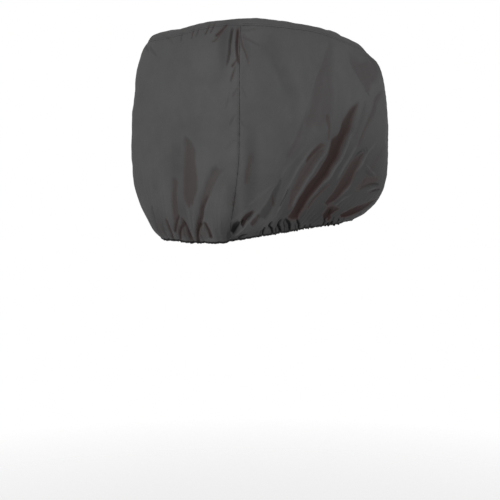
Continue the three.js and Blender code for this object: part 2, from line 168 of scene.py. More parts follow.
# The walls' large folds, from the pressed ones in the lower part to the soft ones under the top seam
WALL_FOLDS = [
    # Starboard: pressed pulls that rise from the hem towards the bow
    Fold(
        "starboard",
        [
            (-178, 612), (-161, 586), (-139, 546), (-119, 518), (-91, 488), (-28, 428),
            (-4, 382), (9, 354), (47, 336), (66, 307), (104, 263), (154, 233),
        ],
        [
            (-110, 630), (-100, 597), (-80, 559), (-54, 528), (-12, 490), (46, 426),
            (75, 380), (93, 352), (110, 334), (124, 311), (146, 265), (162, 231),
        ],
        11, 15, 0.95, 1, 0,
    ),
    Fold(
        "starboard",
        [(0, 580), (8, 554), (18, 534), (56, 490), (87, 450), (120, 418), (168, 400)],
        [(12, 584), (54, 561), (90, 530), (126, 495), (150, 452), (172, 421), (180, 400)],
        12, 11, 0.95, 0.85, 0,
    ),
    Fold(
        "starboard",
        [(-184, 582), (-168, 528), (-142, 474), (-108, 428), (-68, 392), (-32, 374)],
        [(-170, 584), (-140, 528), (-104, 478), (-66, 436), (-38, 406), (-18, 384)],
        10, 6, 0.9, 0.55, 0,
    ),
    Fold(
        "starboard",
        [(-312, 592), (-296, 567), (-276, 545), (-256, 522), (-240, 498), (-214, 458)],
        [(-272, 605), (-254, 580), (-238, 555), (-226, 530), (-216, 506), (-206, 462)],
        8, 5, 0.95, 0.15, 0.34,
    ),
    Fold(
        "starboard",
        [(-92, 582), (-66, 557), (-50, 539), (-34, 523), (-12, 510), (14, 492)],
        [(-78, 586), (-52, 562), (-36, 544), (-20, 528), (0, 514), (24, 496)],
        10, 5.5, 0.85, 0.72, 0,
    ),
    Fold(
        "starboard",
        [(106, 622), (134, 607), (162, 592), (200, 579), (248, 570), (312, 563)],
        [(122, 632), (188, 634), (252, 626), (298, 610), (322, 590), (336, 566)],
        10, 7, 0.95, 1, 0,
    ),
    Fold(
        "starboard",
        [(132, 528), (156, 502), (204, 486), (260, 484)],
        [(150, 536), (190, 524), (240, 512), (306, 508)],
        12, 4, 0.6, 0.35, 0,
    ),
    Fold(
        "starboard",
        [(-2, 609), (16, 582), (46, 569), (88, 579)],
        [(44, 645), (62, 620), (82, 603), (102, 592)],
        8, 7, 0.8, 1, 0.2,
    ),
    # Starboard: small folds at the hem beside the aft corner, and soft ones higher up
    Fold(
        "starboard",
        [(-400, 612), (-396, 602), (-382, 590), (-360, 578), (-326, 564)],
        [(-388, 630), (-370, 615), (-352, 600), (-338, 586), (-322, 566)],
        5, 4, 0.9, 0.9, 0.45,
    ),
    Fold(
        "starboard",
        [(-450, 638), (-448, 626), (-440, 613), (-426, 603), (-402, 597)],
        [(-440, 646), (-426, 638), (-412, 627), (-402, 617), (-396, 604)],
        5, 4, 0.9, 0.1, 1,
    ),
    Fold(
        "starboard",
        [(-344, 620), (-330, 597), (-318, 588), (-302, 573)],
        [(-330, 630), (-310, 614), (-302, 601), (-296, 578)],
        6, 5, 0.8, 0.6, 0.15,
    ),
    Fold(
        "starboard",
        [(-384, 494), (-380, 452), (-370, 418), (-358, 386)],
        [(-362, 500), (-356, 460), (-344, 424), (-338, 386)],
        16, 5, 0.4, 0.35, 0,
    ),
    Fold(
        "starboard",
        [(-14, 368), (-8, 332), (-8, 301), (-6, 277)],
        [(-2, 368), (4, 332), (10, 301), (4, 277)],
        8, 2.5, 0.6, 0.42, 0,
    ),
    Fold(
        "starboard",
        [(-206, 422), (-186, 396), (-164, 360), (-142, 324), (-118, 289)],
        [(-192, 426), (-170, 402), (-148, 366), (-126, 330), (-110, 293)],
        10, 3, 0.5, 0.12, 0,
    ),
    # Aft: tall folds, and the gathers at the hem below them
    Fold(
        "aft",
        [(102, 567), (124, 524), (132, 478), (124, 428), (118, 386), (70, 346)],
        [(80, 571), (66, 528), (66, 474), (72, 426), (72, 384), (64, 342)],
        22, 7, 0.95, 0.44, 0,
    ),
    Fold(
        "aft",
        [(20, 609), (32, 557), (34, 512), (38, 470)],
        [(-10, 610), (0, 559), (6, 514), (14, 470)],
        12, 5, 0.8, 0.48, 0,
    ),
    Fold(
        "aft",
        [(56, 468), (62, 432), (62, 396), (46, 360)],
        [(8, 470), (6, 434), (8, 398), (20, 360)],
        20, 4, 0.4, 0.08, 0,
    ),
    Fold(
        "aft",
        [(136, 605), (154, 561), (186, 516), (214, 470), (244, 444)],
        [(102, 625), (130, 565), (154, 508), (180, 462), (210, 438)],
        16, 7, 0.9, 0.36, 0,
    ),
    Fold(
        "aft",
        [(106, 644), (134, 600), (152, 558), (176, 519)],
        [(78, 652), (112, 603), (134, 559), (162, 520)],
        6, 5, 0.9, 0.56, 0,
    ),
    Fold(
        "aft",
        [(-64, 664), (-42, 643), (-38, 625), (-40, 609), (-47, 596)],
        [(-80, 664), (-62, 646), (-56, 628), (-55, 611), (-55, 597)],
        6, 5, 0.9, 0.7, 0.1,
    ),
    Fold(
        "aft",
        [(-14, 638), (4, 619), (19, 604), (32, 582)],
        [(-32, 638), (-14, 619), (5, 603), (27, 584)],
        6, 5, 0.9, 0.75, 0.1,
    ),
    Fold(
        "aft",
        [(54, 664), (66, 641), (64, 622), (56, 605), (34, 586)],
        [(34, 664), (45, 643), (46, 625), (39, 609), (27, 591)],
        6, 6, 0.9, 0.75, 0.1,
    ),
    Fold(
        "aft",
        [(-12, 664), (12, 642), (36, 625), (52, 613), (46, 601)],
        [(-30, 664), (-7, 645), (15, 627), (31, 615), (34, 603)],
        6, 5, 0.9, 0.8, 0.2,
    ),
    Fold(
        "aft",
        [(166, 650), (166, 632), (161, 615), (144, 596)],
        [(149, 654), (151, 636), (146, 619), (137, 600)],
        6, 6, 0.9, 0.75, 0.25,
    ),
    Fold(
        "aft",
        [(94, 664), (107, 640), (124, 622), (146, 601)],
        [(70, 664), (84, 643), (101, 624), (130, 601)],
        6, 6, 0.9, 0.8, 0.2,
    ),
    # Aft: two deep puckers that run down from the top seam, and one low beside the corner
    Fold(
        "aft",
        [(256, 20), (256, 57), (254, 84), (249, 115), (236, 150)],
        [(248, 18), (247, 55), (245, 82), (241, 113), (231, 150)],
        8, 4.5, 0.8, 0.35, 0.5,
    ),
    Fold(
        "aft",
        [(278, 24), (280, 74), (282, 102), (287, 144)],
        [(267, 22), (269, 72), (271, 100), (278, 146)],
        6, 4.5, 0.9, 0.85, 0.1,
    ),
    Fold(
        "aft",
        [(274, 551), (278, 532), (282, 514)],
        [(258, 555), (264, 534), (274, 514)],
        5, 2, 0.7, 0.3, 0,
    ),
    # Starboard: flat facets under the top seam, and slack folds between them and the pulls
    Fold(
        "starboard",
        [(-124, 324), (-96, 271), (-78, 225), (-56, 179), (-20, 121), (16, 74), (46, 14)],
        [(-64, 330), (6, 289), (22, 247), (22, 199), (22, 149), (42, 96), (68, 14)],
        24, 6, 0.98, 0.17, 0,
    ),
    Fold(
        "starboard",
        [(194, 213), (184, 193), (166, 169), (142, 137), (134, 105), (144, 51)],
        [(208, 215), (226, 193), (246, 167), (296, 141), (336, 90), (240, 32)],
        24, 6, 0.98, 0.25, 0,
    ),
    Fold(
        "starboard",
        [(120, 386), (146, 358), (174, 320), (204, 285), (240, 243), (276, 207), (336, 183)],
        [(132, 392), (168, 362), (196, 326), (230, 291), (270, 249), (310, 213), (344, 191)],
        10, 5, 0.7, 0.3, 0,
    ),
    Fold(
        "starboard",
        [(114, 364), (142, 320), (166, 275), (188, 227)],
        [(132, 368), (162, 322), (186, 277), (200, 227)],
        12, 4, 0.6, 0.15, 0,
    ),
    Fold(
        "starboard",
        [(152, 528), (194, 468), (250, 414), (316, 360)],
        [(172, 536), (224, 474), (286, 418), (340, 366)],
        12, 4, 0.6, 0.2, 0,
    ),
]

# Plain creases: their line, width, short, depth, crisp and worn, the brown painted shade on their walls
CREASES = [
    crease("starboard", [(-186, 416), (-140, 332), (-88, 235), (32, 48)], 56, 12, -3, 0.95, 0.1),
    crease("starboard", [(226, 548), (262, 536), (300, 528), (330, 524)], -9, 7, 2.5, 0.8, 0.4),
    crease("starboard", [(180, 508), (220, 496), (262, 490), (306, 498)], 22, 18, 1.5, 0.2, 0.3),
    crease("starboard", [(-112, 434), (-92, 412), (-64, 390), (-34, 374), (-12, 384)], 12, 7, 2.6, 0.5, 0.75),
    crease("starboard", [(66, 650), (58, 622), (50, 604), (48, 590)], 13, 8, 6, 0.8, 1.0),
    crease("starboard", [(-234, 565), (-240, 540), (-242, 516)], 8, 8, 1.5, 0.3, 0.5),
    crease("starboard", [(-170, 236), (-196, 182), (-222, 140), (-266, 98)], 32, 26, 4, 0.1, 0.05),
    crease("starboard", [(-350, 134), (-370, 92), (-388, 48)], 22, 14, 4, 0.4, 0.08),
    crease("aft", [(-84, 536), (-84, 500), (-80, 470), (-74, 440)], 30, 16, 2.5, 0.3, 0.05),
    crease("aft", [(-118, 658), (-112, 625), (-92, 598)], 36, 30, 0.6, 0.0, 0.3),
    crease("aft", [(-4, 658), (4, 625), (16, 594)], 62, 60, 0.6, 0.0, 0.36),
    crease("aft", [(106, 658), (118, 625), (132, 598)], 36, 30, 0.6, 0.0, 0.3),
    crease("fore", [(-120, 640), (-112, 540), (-118, 450), (-150, 360)], -52, 14, 15, 0.9, 0.5),
    crease("fore", [(20, 645), (30, 560), (22, 480), (-4, 410)], 44, 14, 11, 0.8, 0.4),
    crease("fore", [(140, 640), (150, 540), (190, 430), (230, 330)], 52, 14, 15, 0.9, 0.5),
    crease("fore", [(-60, 300), (-40, 220), (-70, 140), (-130, 70)], 60, 50, 9, 0.3, 0.06),
    crease("fore", [(120, 280), (90, 200), (110, 120), (170, 66)], -50, 44, 8, 0.3, 0.06),
    crease("port", [(150, 640), (80, 520), (-30, 380), (-140, 250)], 62, 14, 20, 0.95, 0.8),
    crease("port", [(-20, 610), (-90, 510), (-150, 430), (-220, 380)], 50, 12, 15, 0.9, 0.6),
    crease("port", [(220, 600), (205, 520), (180, 440), (130, 380)], 36, 12, 10, 0.8, 0.4),
    crease("port", [(190, 430), (110, 310), (60, 190), (20, 56)], -56, 12, -4, 0.95, 0.16),
    crease("port", [(-150, 44), (-140, 125), (-166, 181), (-204, 222)], 150, 14, -8, 0.95, 0.18),
    crease("port", [(-130, 640), (-200, 600), (-260, 560), (-320, 530)], 30, 12, 10, 0.8, 0.6),
    crease("port", [(330, 640), (345, 560), (335, 480), (300, 400)], 32, 14, 9, 0.7, 0.3),
]

# Ridges: their line, half width, height and how much painted highlight they have
RIDGES = [
    ridge(
        "starboard",
        [(-158, 576), (-144, 545), (-120, 510), (-90, 474), (-56, 438), (-12, 390), (8, 340)],
        7, 2.8, 0.8,
    ),
    ridge("starboard", [(-230, 603), (-190, 528), (-152, 466), (-110, 412), (-56, 374)], 8, 2.8, 0.8),
    ridge(
        "starboard",
        [(-304, 582), (-264, 530), (-220, 480), (-158, 420), (-102, 362), (-78, 301)],
        8, 1.8, 0.35,
    ),
    ridge(
        "starboard",
        [(-108, 596), (-78, 554), (-38, 515), (4, 481), (44, 442), (88, 384), (144, 281)],
        8, 3.2, 0.9,
    ),
    ridge(
        "starboard",
        [(40, 494), (64, 464), (80, 442), (102, 420), (122, 396), (158, 352), (248, 233)],
        7, 2.4, 0.7,
    ),
    ridge(
        "starboard",
        [(26, 573), (78, 542), (114, 512), (142, 466), (186, 422), (212, 398), (278, 356)],
        7, 2.4, 0.8,
    ),
    ridge("starboard", [(-362, 555), (-314, 532), (-270, 508), (-232, 482)], 8, 1.8, 0.4),
    ridge(
        "starboard",
        [(-440, 656), (-408, 643), (-374, 627), (-352, 609), (-336, 592), (-314, 568)],
        6, 2.5, 0.9,
    ),
    ridge("starboard", [(-348, 618), (-342, 609), (-328, 592), (-312, 573), (-290, 560)], 5, 2.2, 0.6),
    ridge("starboard", [(-444, 604), (-416, 588), (-376, 574), (-336, 557)], 7, 1.5, 0.3),
    ridge("starboard", [(334, 526), (280, 526), (236, 530), (202, 538)], 4, 2.0, 0.8),
    ridge("starboard", [(190, 442), (222, 460), (260, 482), (304, 504)], 5, 1.6, 0.5),
    ridge("starboard", [(-150, 352), (-92, 236), (-34, 146), (30, 50)], 5, 1.4, 0.5),
    ridge("starboard", [(56, 577), (94, 557), (136, 545)], 5, 1.8, 0.6),
    ridge("aft", [(-44, 664), (-34, 642), (-14, 622), (10, 604)], 6, 2.0, 0.6),
    ridge("aft", [(118, 664), (126, 642), (136, 622), (142, 606)], 6, 2.0, 0.5),
    ridge("aft", [(72, 640), (74, 600), (66, 566), (60, 540)], 8, 1.8, 0.4),
    ridge("aft", [(-44, 640), (-34, 560), (-30, 490), (-22, 430)], 8, 1.8, 0.3),
    ridge("aft", [(92, 648), (92, 600), (104, 550), (132, 508)], 6, 2.0, 0.5),
    ridge("aft", [(128, 640), (150, 570), (178, 510), (216, 470)], 8, 2.0, 0.4),
    ridge("aft", [(-110, 640), (-104, 580), (-100, 520), (-96, 470)], 9, 1.4, 0.2),
    ridge("aft", [(200, 640), (210, 580), (224, 520), (240, 470)], 9, 1.6, 0.2),
    ridge("aft", [(264, 166), (264, 120), (264, 84), (264, 40)], 7, 2.4, 0.4),
]

# Painted shade: dim parts of the cloth. across, down: the middle. wide, high: how far it reaches. dim: how
# dark its painted shade is.
Shade = namedtuple("Shade", "face across down wide high dim")
SHADE_POWER = 1.5
SHADES = [
    Shade("starboard", 80, 520, 330, 190, 0.4),
    Shade("starboard", -10, 660, 250, 80, 0.35),
    Shade("starboard", -176, 600, 50, 60, 0.2),
    Shade("starboard", -310, 690, 170, 70, 0.4),
    Shade("starboard", -350, 450, 36, 130, 0.22),
    Shade("starboard", -262, 96, 44, 44, 0.1),
    Shade("starboard", -216, 142, 34, 40, 0.1),
    Shade("starboard", -188, 188, 28, 40, 0.1),
    Shade("starboard", -164, 232, 26, 40, 0.1),
    Shade("starboard", -150, 80, 120, 50, 0.06),
    Shade("starboard", 350, 60, 60, 60, 0.15),
    Shade("aft", 34, 500, 36, 160, 0.12),
    Shade("aft", 220, 96, 22, 70, 0.2),
    Shade("aft", 240, 650, 50, 60, 0.4),
    Shade("aft", -90, 610, 60, 40, 0.2),
    Shade("aft", 60, 600, 70, 60, 0.15),
    Shade("aft", 262, 550, 26, 60, 0.2),
    Shade("aft", 240, 60, 60, 50, 0.1),
    Shade("aft", -90, 690, 180, 50, 0.2),
    Shade("port", -60, 560, 330, 170, 0.4),
    Shade("fore", 40, 600, 260, 120, 0.3),
]

# Slack folds of the top panel, in plan: to starboard and towards the bow from the crown
TOP_CREASES = [
    crease("top", [(150, -270), (90, -190), (20, -120), (-60, -80)], 60, 50, 4, 0.3, 0.0),
    crease("top", [(-150, -260), (-90, -150), (-60, -30), (-80, 80)], 50, 60, 4, 0.3, 0.0),
    crease("top", [(160, 200), (110, 110), (60, 60), (-10, 40)], 60, 50, 5, 0.3, 0.0),
    crease("top", [(-140, 190), (-80, 150), (0, 150), (70, 180)], 50, 50, 4, 0.3, 0.0),
    crease("top", [(240, 222), (208, 206), (180, 190), (140, 170)], 40, 40, 5, 0.2, 0.0),
    crease("top", [(250, 110), (226, 108), (200, 101), (160, 92)], 36, 36, -5, 0.2, 0.0),
]

# Tucks on the faces that the photograph shows: their place at the hem, half width, height, lean, depth and
# how dark their near-black painted shade is
SHOWN_TUCKS = [
    tuck("aft", -196, 12, 50, -12, 2.5, 0.1),
    tuck("aft", -158, 13, 66, -14, 3.0, 0.2),
    tuck("aft", -128, 10, 90, 14, 3.0, 0.2),
    tuck("aft", -98, 10, 56, 30, 3.0, 0.2),
    tuck("aft", -34, 10, 50, 26, 3.0, 0.2),
    tuck("aft", 26, 9, 60, 14, 3.0, 0.2),
    tuck("aft", 54, 8, 34, -6, 2.5, 0.3),
    tuck("aft", 112, 8, 30, -4, 2.5, 0.2),
    tuck("aft", 184, 11, 40, 6, 2.5, 0.2),
    tuck("aft", 226, 10, 26, 16, 3.0, 0.4),
    tuck("starboard", 228, 10, 20, 12, 3.0, 0.2),
    tuck("starboard", 292, 12, 30, 16, 3.5, 0.2),
    tuck("starboard", 356, 11, 30, 12, 3.5, 0.2),
]

# Tucks on the other faces. Each size is the least one and its growth times one random share.
TUCK_SEED = 11
HIDDEN_TUCK_PITCH = 36.0
TUCK_CLEAR = (14.0, 10.0)
TUCK_SHIFT = 7.0
TUCK_SHARES = (0.6, 1.4)
TUCK_LEANS = (-20.0, 16.0)
TUCK_LEAST = np.array([8.0, 20.0, 3.0])
TUCK_GROWTH = np.array([3.0, 30.0, 3.6])
# How dark the near-black painted shade of a hidden tuck is, times its share
TUCK_SHADE = 0.35

# Notches, most of them at the hem: their line, half width, depth and how dark their near-black painted shade
# is
NOTCHES = [
    notch("starboard", [(-394, 622), (-384, 610), (-374, 602)], 5, 4, 1.0),
    notch("starboard", [(-424, 664), (-392, 656), (-350, 654)], 5, 3, 0.8),
    notch("starboard", [(310, 516), (250, 514), (206, 520), (172, 530)], 6, 3, 0.45),
    notch("starboard", [(334, 536), (276, 536), (230, 543)], 4, 3, 0.6),
    notch("starboard", [(190, 464), (212, 474), (244, 485)], 7, 2, 0.25),
    notch("starboard", [(168, 398), (146, 408), (124, 424)], 5, 3, 0.5),
    notch("starboard", [(188, 386), (198, 400), (188, 412)], 4, 2.5, 0.4),
    notch("starboard", [(168, 392), (188, 406)], 4, 2.5, 0.4),
    notch("starboard", [(-212, 565), (-192, 534), (-170, 504)], 5, 3, 0.6),
    notch("starboard", [(-354, 608), (-338, 590), (-324, 575)], 3, 2, 0.4),
    notch("starboard", [(-266, 672), (-266, 647), (-258, 630)], 6, 5, 1.0),
    notch("starboard", [(-284, 668), (-280, 652), (-268, 640)], 4, 3, 0.8),
    notch("starboard", [(-212, 672), (-228, 643), (-242, 629), (-230, 608)], 8, 6, 1.0),
    notch("starboard", [(-198, 668), (-206, 647), (-202, 630)], 4, 4, 0.8),
    notch("starboard", [(-172, 672), (-190, 645), (-198, 631), (-186, 602)], 9, 7, 1.0),
    notch("starboard", [(-156, 668), (-164, 643), (-174, 627), (-168, 608)], 4, 4, 0.8),
    notch("starboard", [(-142, 668), (-152, 647), (-164, 628)], 3, 3, 0.6),
    notch("starboard", [(-124, 672), (-142, 641), (-156, 624), (-176, 606)], 10, 7, 1.0),
    notch("starboard", [(-92, 668), (-108, 647), (-118, 630)], 3, 3, 0.5),
    notch("starboard", [(-72, 672), (-90, 645), (-104, 629), (-112, 614)], 7, 7, 1.0),
    notch("starboard", [(-42, 672), (-48, 659), (-54, 644)], 4, 4, 1.0),
    notch("starboard", [(-14, 672), (-20, 661), (-28, 646)], 4, 4, 0.9),
    notch("starboard", [(68, 672), (50, 647), (30, 625)], 7, 5, 0.9),
    notch("starboard", [(98, 672), (90, 662), (78, 646)], 7, 5, 1.0),
    notch("starboard", [(124, 672), (114, 660), (98, 643)], 6, 5, 1.0),
    notch("starboard", [(112, 672), (98, 650), (84, 620)], 4, 5, 0.9),
    notch("starboard", [(152, 672), (140, 652), (120, 630)], 5, 5, 1.0),
    notch("starboard", [(188, 670), (176, 652), (164, 636)], 4, 4, 0.7),
]

# Puckers, nearly all beside the seams: their line, half width, depth and worn, the brown painted shade in
# them
PUCKERS = [
    pucker("aft", [(14, 56), (8, 40), (5, 28), (4, 18)], 6, 2.6, 0.4),
    pucker("aft", [(71, 58), (66, 42), (64, 28), (66, 14)], 5, 3.0, 0.6),
    pucker("aft", [(88, 52), (90, 42), (91, 32), (92, 20)], 5, 2.6, 0.45),
    pucker("aft", [(130, 52), (136, 40), (140, 28), (144, 14)], 6, 3.6, 0.7),
    pucker("aft", [(154, 50), (161, 38), (163, 28), (168, 14)], 5, 3.2, 0.6),
    pucker("aft", [(176, 60), (195, 48), (210, 38), (232, 22)], 9, 3.8, 0.8),
    pucker("aft", [(168, 76), (186, 66), (202, 55), (222, 42)], 6, 2.4, 0.45),
    pucker("aft", [(-30, 56), (-48, 40), (-92, 24), (-150, 12)], 6, 1.8, 0.12),
    pucker("aft", [(-168, 46), (-148, 56), (-122, 70), (-86, 92)], 6, 2.2, 0.2),
    pucker("aft", [(-222, 38), (-196, 48), (-172, 58), (-148, 76)], 5, 1.8, 0.2),
    pucker("aft", [(-110, 562), (-116, 572), (-124, 582), (-132, 592)], 6, 2.0, 0.25),
    pucker("aft", [(252, 150), (258, 143), (266, 135), (280, 122)], 5, 3.0, 0.7),
    pucker("aft", [(248, 192), (254, 178), (262, 160), (274, 142)], 5, 2.6, 0.5),
    pucker("aft", [(256, 236), (263, 226), (272, 215), (284, 202)], 5, 2.0, 0.25),
    pucker("aft", [(246, 320), (253, 306), (260, 296), (272, 284)], 5, 2.0, 0.25),
    pucker("aft", [(230, 272), (237, 252), (242, 236), (248, 218)], 6, 1.8, 0.1),
    pucker("aft", [(224, 392), (244, 378), (262, 366), (280, 358)], 7, 1.5, 0.05),
    pucker("starboard", [(-404, 56), (-392, 84), (-370, 112), (-356, 148)], 9, 2.4, 0.4),
    pucker("starboard", [(-404, 58), (-372, 64), (-334, 76), (-290, 92)], 7, 2.2, 0.15),
    pucker("starboard", [(-404, 46), (-372, 44), (-336, 40), (-296, 38)], 6, 1.8, 0.15),
    pucker("starboard", [(-404, 30), (-380, 30), (-352, 28), (-322, 26)], 6, 1.8, 0.15),
    pucker("starboard", [(-404, 196), (-392, 210), (-378, 226), (-364, 246)], 6, 1.6, 0.06),
    pucker("starboard", [(-404, 300), (-390, 312), (-374, 322), (-356, 330)], 6, 1.4, 0.06),
]


def hem_tucks():
    """The tucks of all four faces"""
    rng = np.random.default_rng(TUCK_SEED)
    tucks = list(SHOWN_TUCKS)
    for face in ("fore", "port"):
        first, last = TUCK_CLEAR[0] - FACE_HALVES[face], FACE_HALVES[face] - TUCK_CLEAR[1]
        for across in np.arange(first, last, HIDDEN_TUCK_PITCH):
            place = across + rng.uniform(-TUCK_SHIFT, TUCK_SHIFT)
            share = rng.uniform(*TUCK_SHARES)
            lean = rng.uniform(*TUCK_LEANS)
            half, height, depth = TUCK_LEAST + TUCK_GROWTH * share
            tucks.append(tuck(face, place, half, height, lean, depth, TUCK_SHADE * share))
    return tucks


# Tones painted on the cloth: worn is painted shade on fold walls, tinted brown; dark is near-black painted
# shade; pale is painted highlight; dim is broad painted shade
FOLD_TONES = ["worn", "dark", "pale"]
TONES = FOLD_TONES + ["dim"]
ALL_WALL_FOLDS = WALL_FOLDS + CREASES + RIDGES
ALL_SMALL_FOLDS = hem_tucks() + NOTCHES + PUCKERS

# Shape of every fold. Its lip stands a little above the cloth, just beyond its rim.
STEPS_PER_SPAN = 5
NEAR_SHORTS = 1.8
NEAR_SPANS = 0.6
LIP_HEIGHT = 0.07
LIP_PLACE = 1.12
LIP_SPREAD = 0.22
LIP_CRISPNESS = 0.6
FOOT_FADE = 0.08
TIP_FADE = 0.14
SOFT_END = 0.25

# Tone of every fold: how its painted shade and painted highlight spread over its walls
TONE_FADE = 0.6
TIP_PALER = 0.45
SHORT_WALL_TONE = 0.8
RIM_TONE = 0.9
TONE_EDGE = 12.0
SOFT_EDGE = 40.0
EDGE_SHARE = 0.35

# How far the folds of the walls and of the top panel fade out at the seam between them
WALL_FADE = 22.0
TOP_FADE = 40.0

# Cloth that dips into a seam, and the edge of a panel where it turns in to its allowance. inset: distance
# from the seam line. sink: how far in it lies. back, inward: where its inner side is, in thicknesses.
SEAM_DIP = 2.2
SEAM_DIP_WIDTH = 13.0
SEAM_DIP_POWER = 1.5
TOP_SEAM_DIP = 1.3
UPRIGHT_SEAM_START = 6.0
Turn = namedtuple("Turn", "inset sink back inward")
UPRIGHT_TURN = [
    Turn(0.1, 10.0, 1.0, 0.0),
    Turn(0.1, 5.0, 1.0, 0.25),
    Turn(0.2, 1.8, 1.0, 0.9),
    Turn(0.6, 0.6, 1.0, 1.1),
    Turn(1.5, 0.12, 0.9, 1.05),
    Turn(3.0, 0.0, 0.35, 1.0),
]
TOP_TURN = [
    Turn(0.1, 9.0, 1.0, 0.0),
    Turn(0.1, 4.5, 1.0, 0.25),
    Turn(0.2, 1.5, 1.0, 0.9),
    Turn(0.5, 0.5, 1.0, 1.1),
    Turn(1.2, 0.1, 0.9, 1.05),
    Turn(2.6, 0.0, 0.35, 1.0),
]


def ease(value):
    x = np.clip(value, 0.0, 1.0)
    return x * x * (3 - 2 * x)


# The way down the cover to each section, from the crown over the shoulder along the side
DOWNS = np.array([s.down for s in SECTIONS], float)
SIDES = np.array([s.side for s in SECTIONS], float)
WAYS = np.concatenate([[0.0], np.cumsum(np.hypot(np.diff(SIDES), np.diff(DOWNS)))])


def way_of_down(down):
    return np.interp(down, DOWNS, WAYS)


def down_of_way(way):
    return np.interp(way, WAYS, DOWNS)


TOP_EDGE = float(way_of_down(SEAM_DOWN))
HEM_EDGE = float(way_of_down(HEM_DOWN))


def section_value(key, way):
    """One column of the table of sections, read as a smooth curve through its rows"""
    column = np.array([getattr(s, key) for s in SECTIONS], float)
    before = np.maximum(np.arange(len(column)) - 1, 0)
    after = np.minimum(np.arange(len(column)) + 1, len(column) - 1)
    slope = (column[after] - column[before]) / (WAYS[after] - WAYS[before])
    i = np.clip(np.searchsorted(WAYS, way, side="left") - 1, 0, len(column) - 2)
    length = WAYS[i + 1] - WAYS[i]
    t = (way - WAYS[i]) / length
    bend = slope[i] * length * t * (1 - t) ** 2 - slope[i + 1] * length * t * t * (1 - t)
    return column[i] + (column[i + 1] - column[i]) * t * t * (3 - 2 * t) + bend


def run_between(start, end):
    """How far round the strip one run is from another, the shorter way"""
    return np.mod(end - start + 0.5 * GIRTH, GIRTH) - 0.5 * GIRTH


def square_at(run):
    """The place on the edge of a square that a run along the strip stands for"""
    turned = CORNER_RUNS[0] + np.mod(run - CORNER_RUNS[0], GIRTH)
    face = np.clip(np.searchsorted(CORNER_RUNS, turned, side="right") - 1, 0, 3)
    span = CORNER_RUNS[face + 1] - CORNER_RUNS[face]
    along = 2 * (turned - CORNER_RUNS[face]) / span - 1
    u = np.choose(face, [along, 1 + 0 * along, -along, -1 + 0 * along])
    v = np.choose(face, [-1 + 0 * along, along, 1 + 0 * along, -along])
    return u, v


def tilt(key, way, place, start_and_length):
    """How far one of the tilts moves each place of its section"""
    start, length = start_and_length
    return section_value(key, way) * ease((place - start) / length)


def smooth_cover(run, way):
    """The smooth shape under the folds, in millimetres"""
    u, v = square_at(run)
    power = section_value("power", way)
    shrink = (np.abs(u) ** power + np.abs(v) ** power) ** (-1 / power)
    to_side = u * shrink
    to_bow = v * shrink
    reach = np.where(v > 0, section_value("fore", way), section_value("aft", way))
    height = CROWN_RISE - section_value("down", way)
    height += tilt("peak", way, to_side - to_bow, PEAK_TILT)
    height += tilt("hem_rise", way, to_bow, HEM_TILT)
    lift = np.interp(run_between(0.0, run), *np.array(HEM_LIFTS, float).T)
    height += lift * ease((down_of_way(way) - HEM_LIFT_START) / (HEM_DOWN - HEM_LIFT_START))
    height -= tilt("fore_drop", way, to_bow, FORE_TILT)
    height -= tilt("port_drop", way, -to_side - to_bow, PORT_TILT)
    return np.stack([to_side * section_value("side", way), to_bow * reach, height], -1)


PROBE = 0.5


def smooth_normal(run, way):
    """Outward directions of the smooth shape"""
    way = np.maximum(way, 2 * PROBE)
    round_step = smooth_cover(run + PROBE, way) - smooth_cover(run - PROBE, way)
    down_step = smooth_cover(run, way + PROBE) - smooth_cover(run, way - PROBE)
    normal = np.cross(down_step, round_step)
    return normal / np.linalg.norm(normal, axis=-1, keepdims=True)


def curve_through(points):
    """A uniform Catmull-Rom curve through a few points"""
    p = np.array(points, float)
    p = np.concatenate([[2 * p[0] - p[1]], p, [2 * p[-1] - p[-2]]])
    t_all = np.linspace(0, len(points) - 1, STEPS_PER_SPAN * (len(points) - 1) + 1)
    i = np.minimum(t_all.astype(int), len(points) - 2)
    t = (t_all - i)[:, None]
    a, b, c, d = p[i], p[i + 1], p[i + 2], p[i + 3]
    return 0.5 * (2 * b + (c - a) * t + (2 * a - 5 * b + 4 * c - d) * t**2 + (3 * b - a - 3 * c + d) * t**3)


def nearest_on(path, px, py):
    """Distance to a path, the side of it on which each place lies and how far along it that is"""
    steps = len(path) - 1
    gap = np.full(np.shape(px), np.inf)
    side = np.zeros(np.shape(px))
    along = np.zeros(np.shape(px))
    for i in range(steps):
        dx, dy = path[i + 1] - path[i]
        qx, qy = px - path[i, 0], py - path[i, 1]
        t = np.clip((qx * dx + qy * dy) / (dx * dx + dy * dy), 0, 1)
        distance = np.hypot(qx - t * dx, qy - t * dy)
        closer = distance < gap
        gap = np.where(closer, distance, gap)
        side = np.where(closer, np.where(qy * dx - qx * dy < 0, -1.0, 1.0), side)
        along = np.where(closer, (i + t) / steps, along)
    return gap, side, along


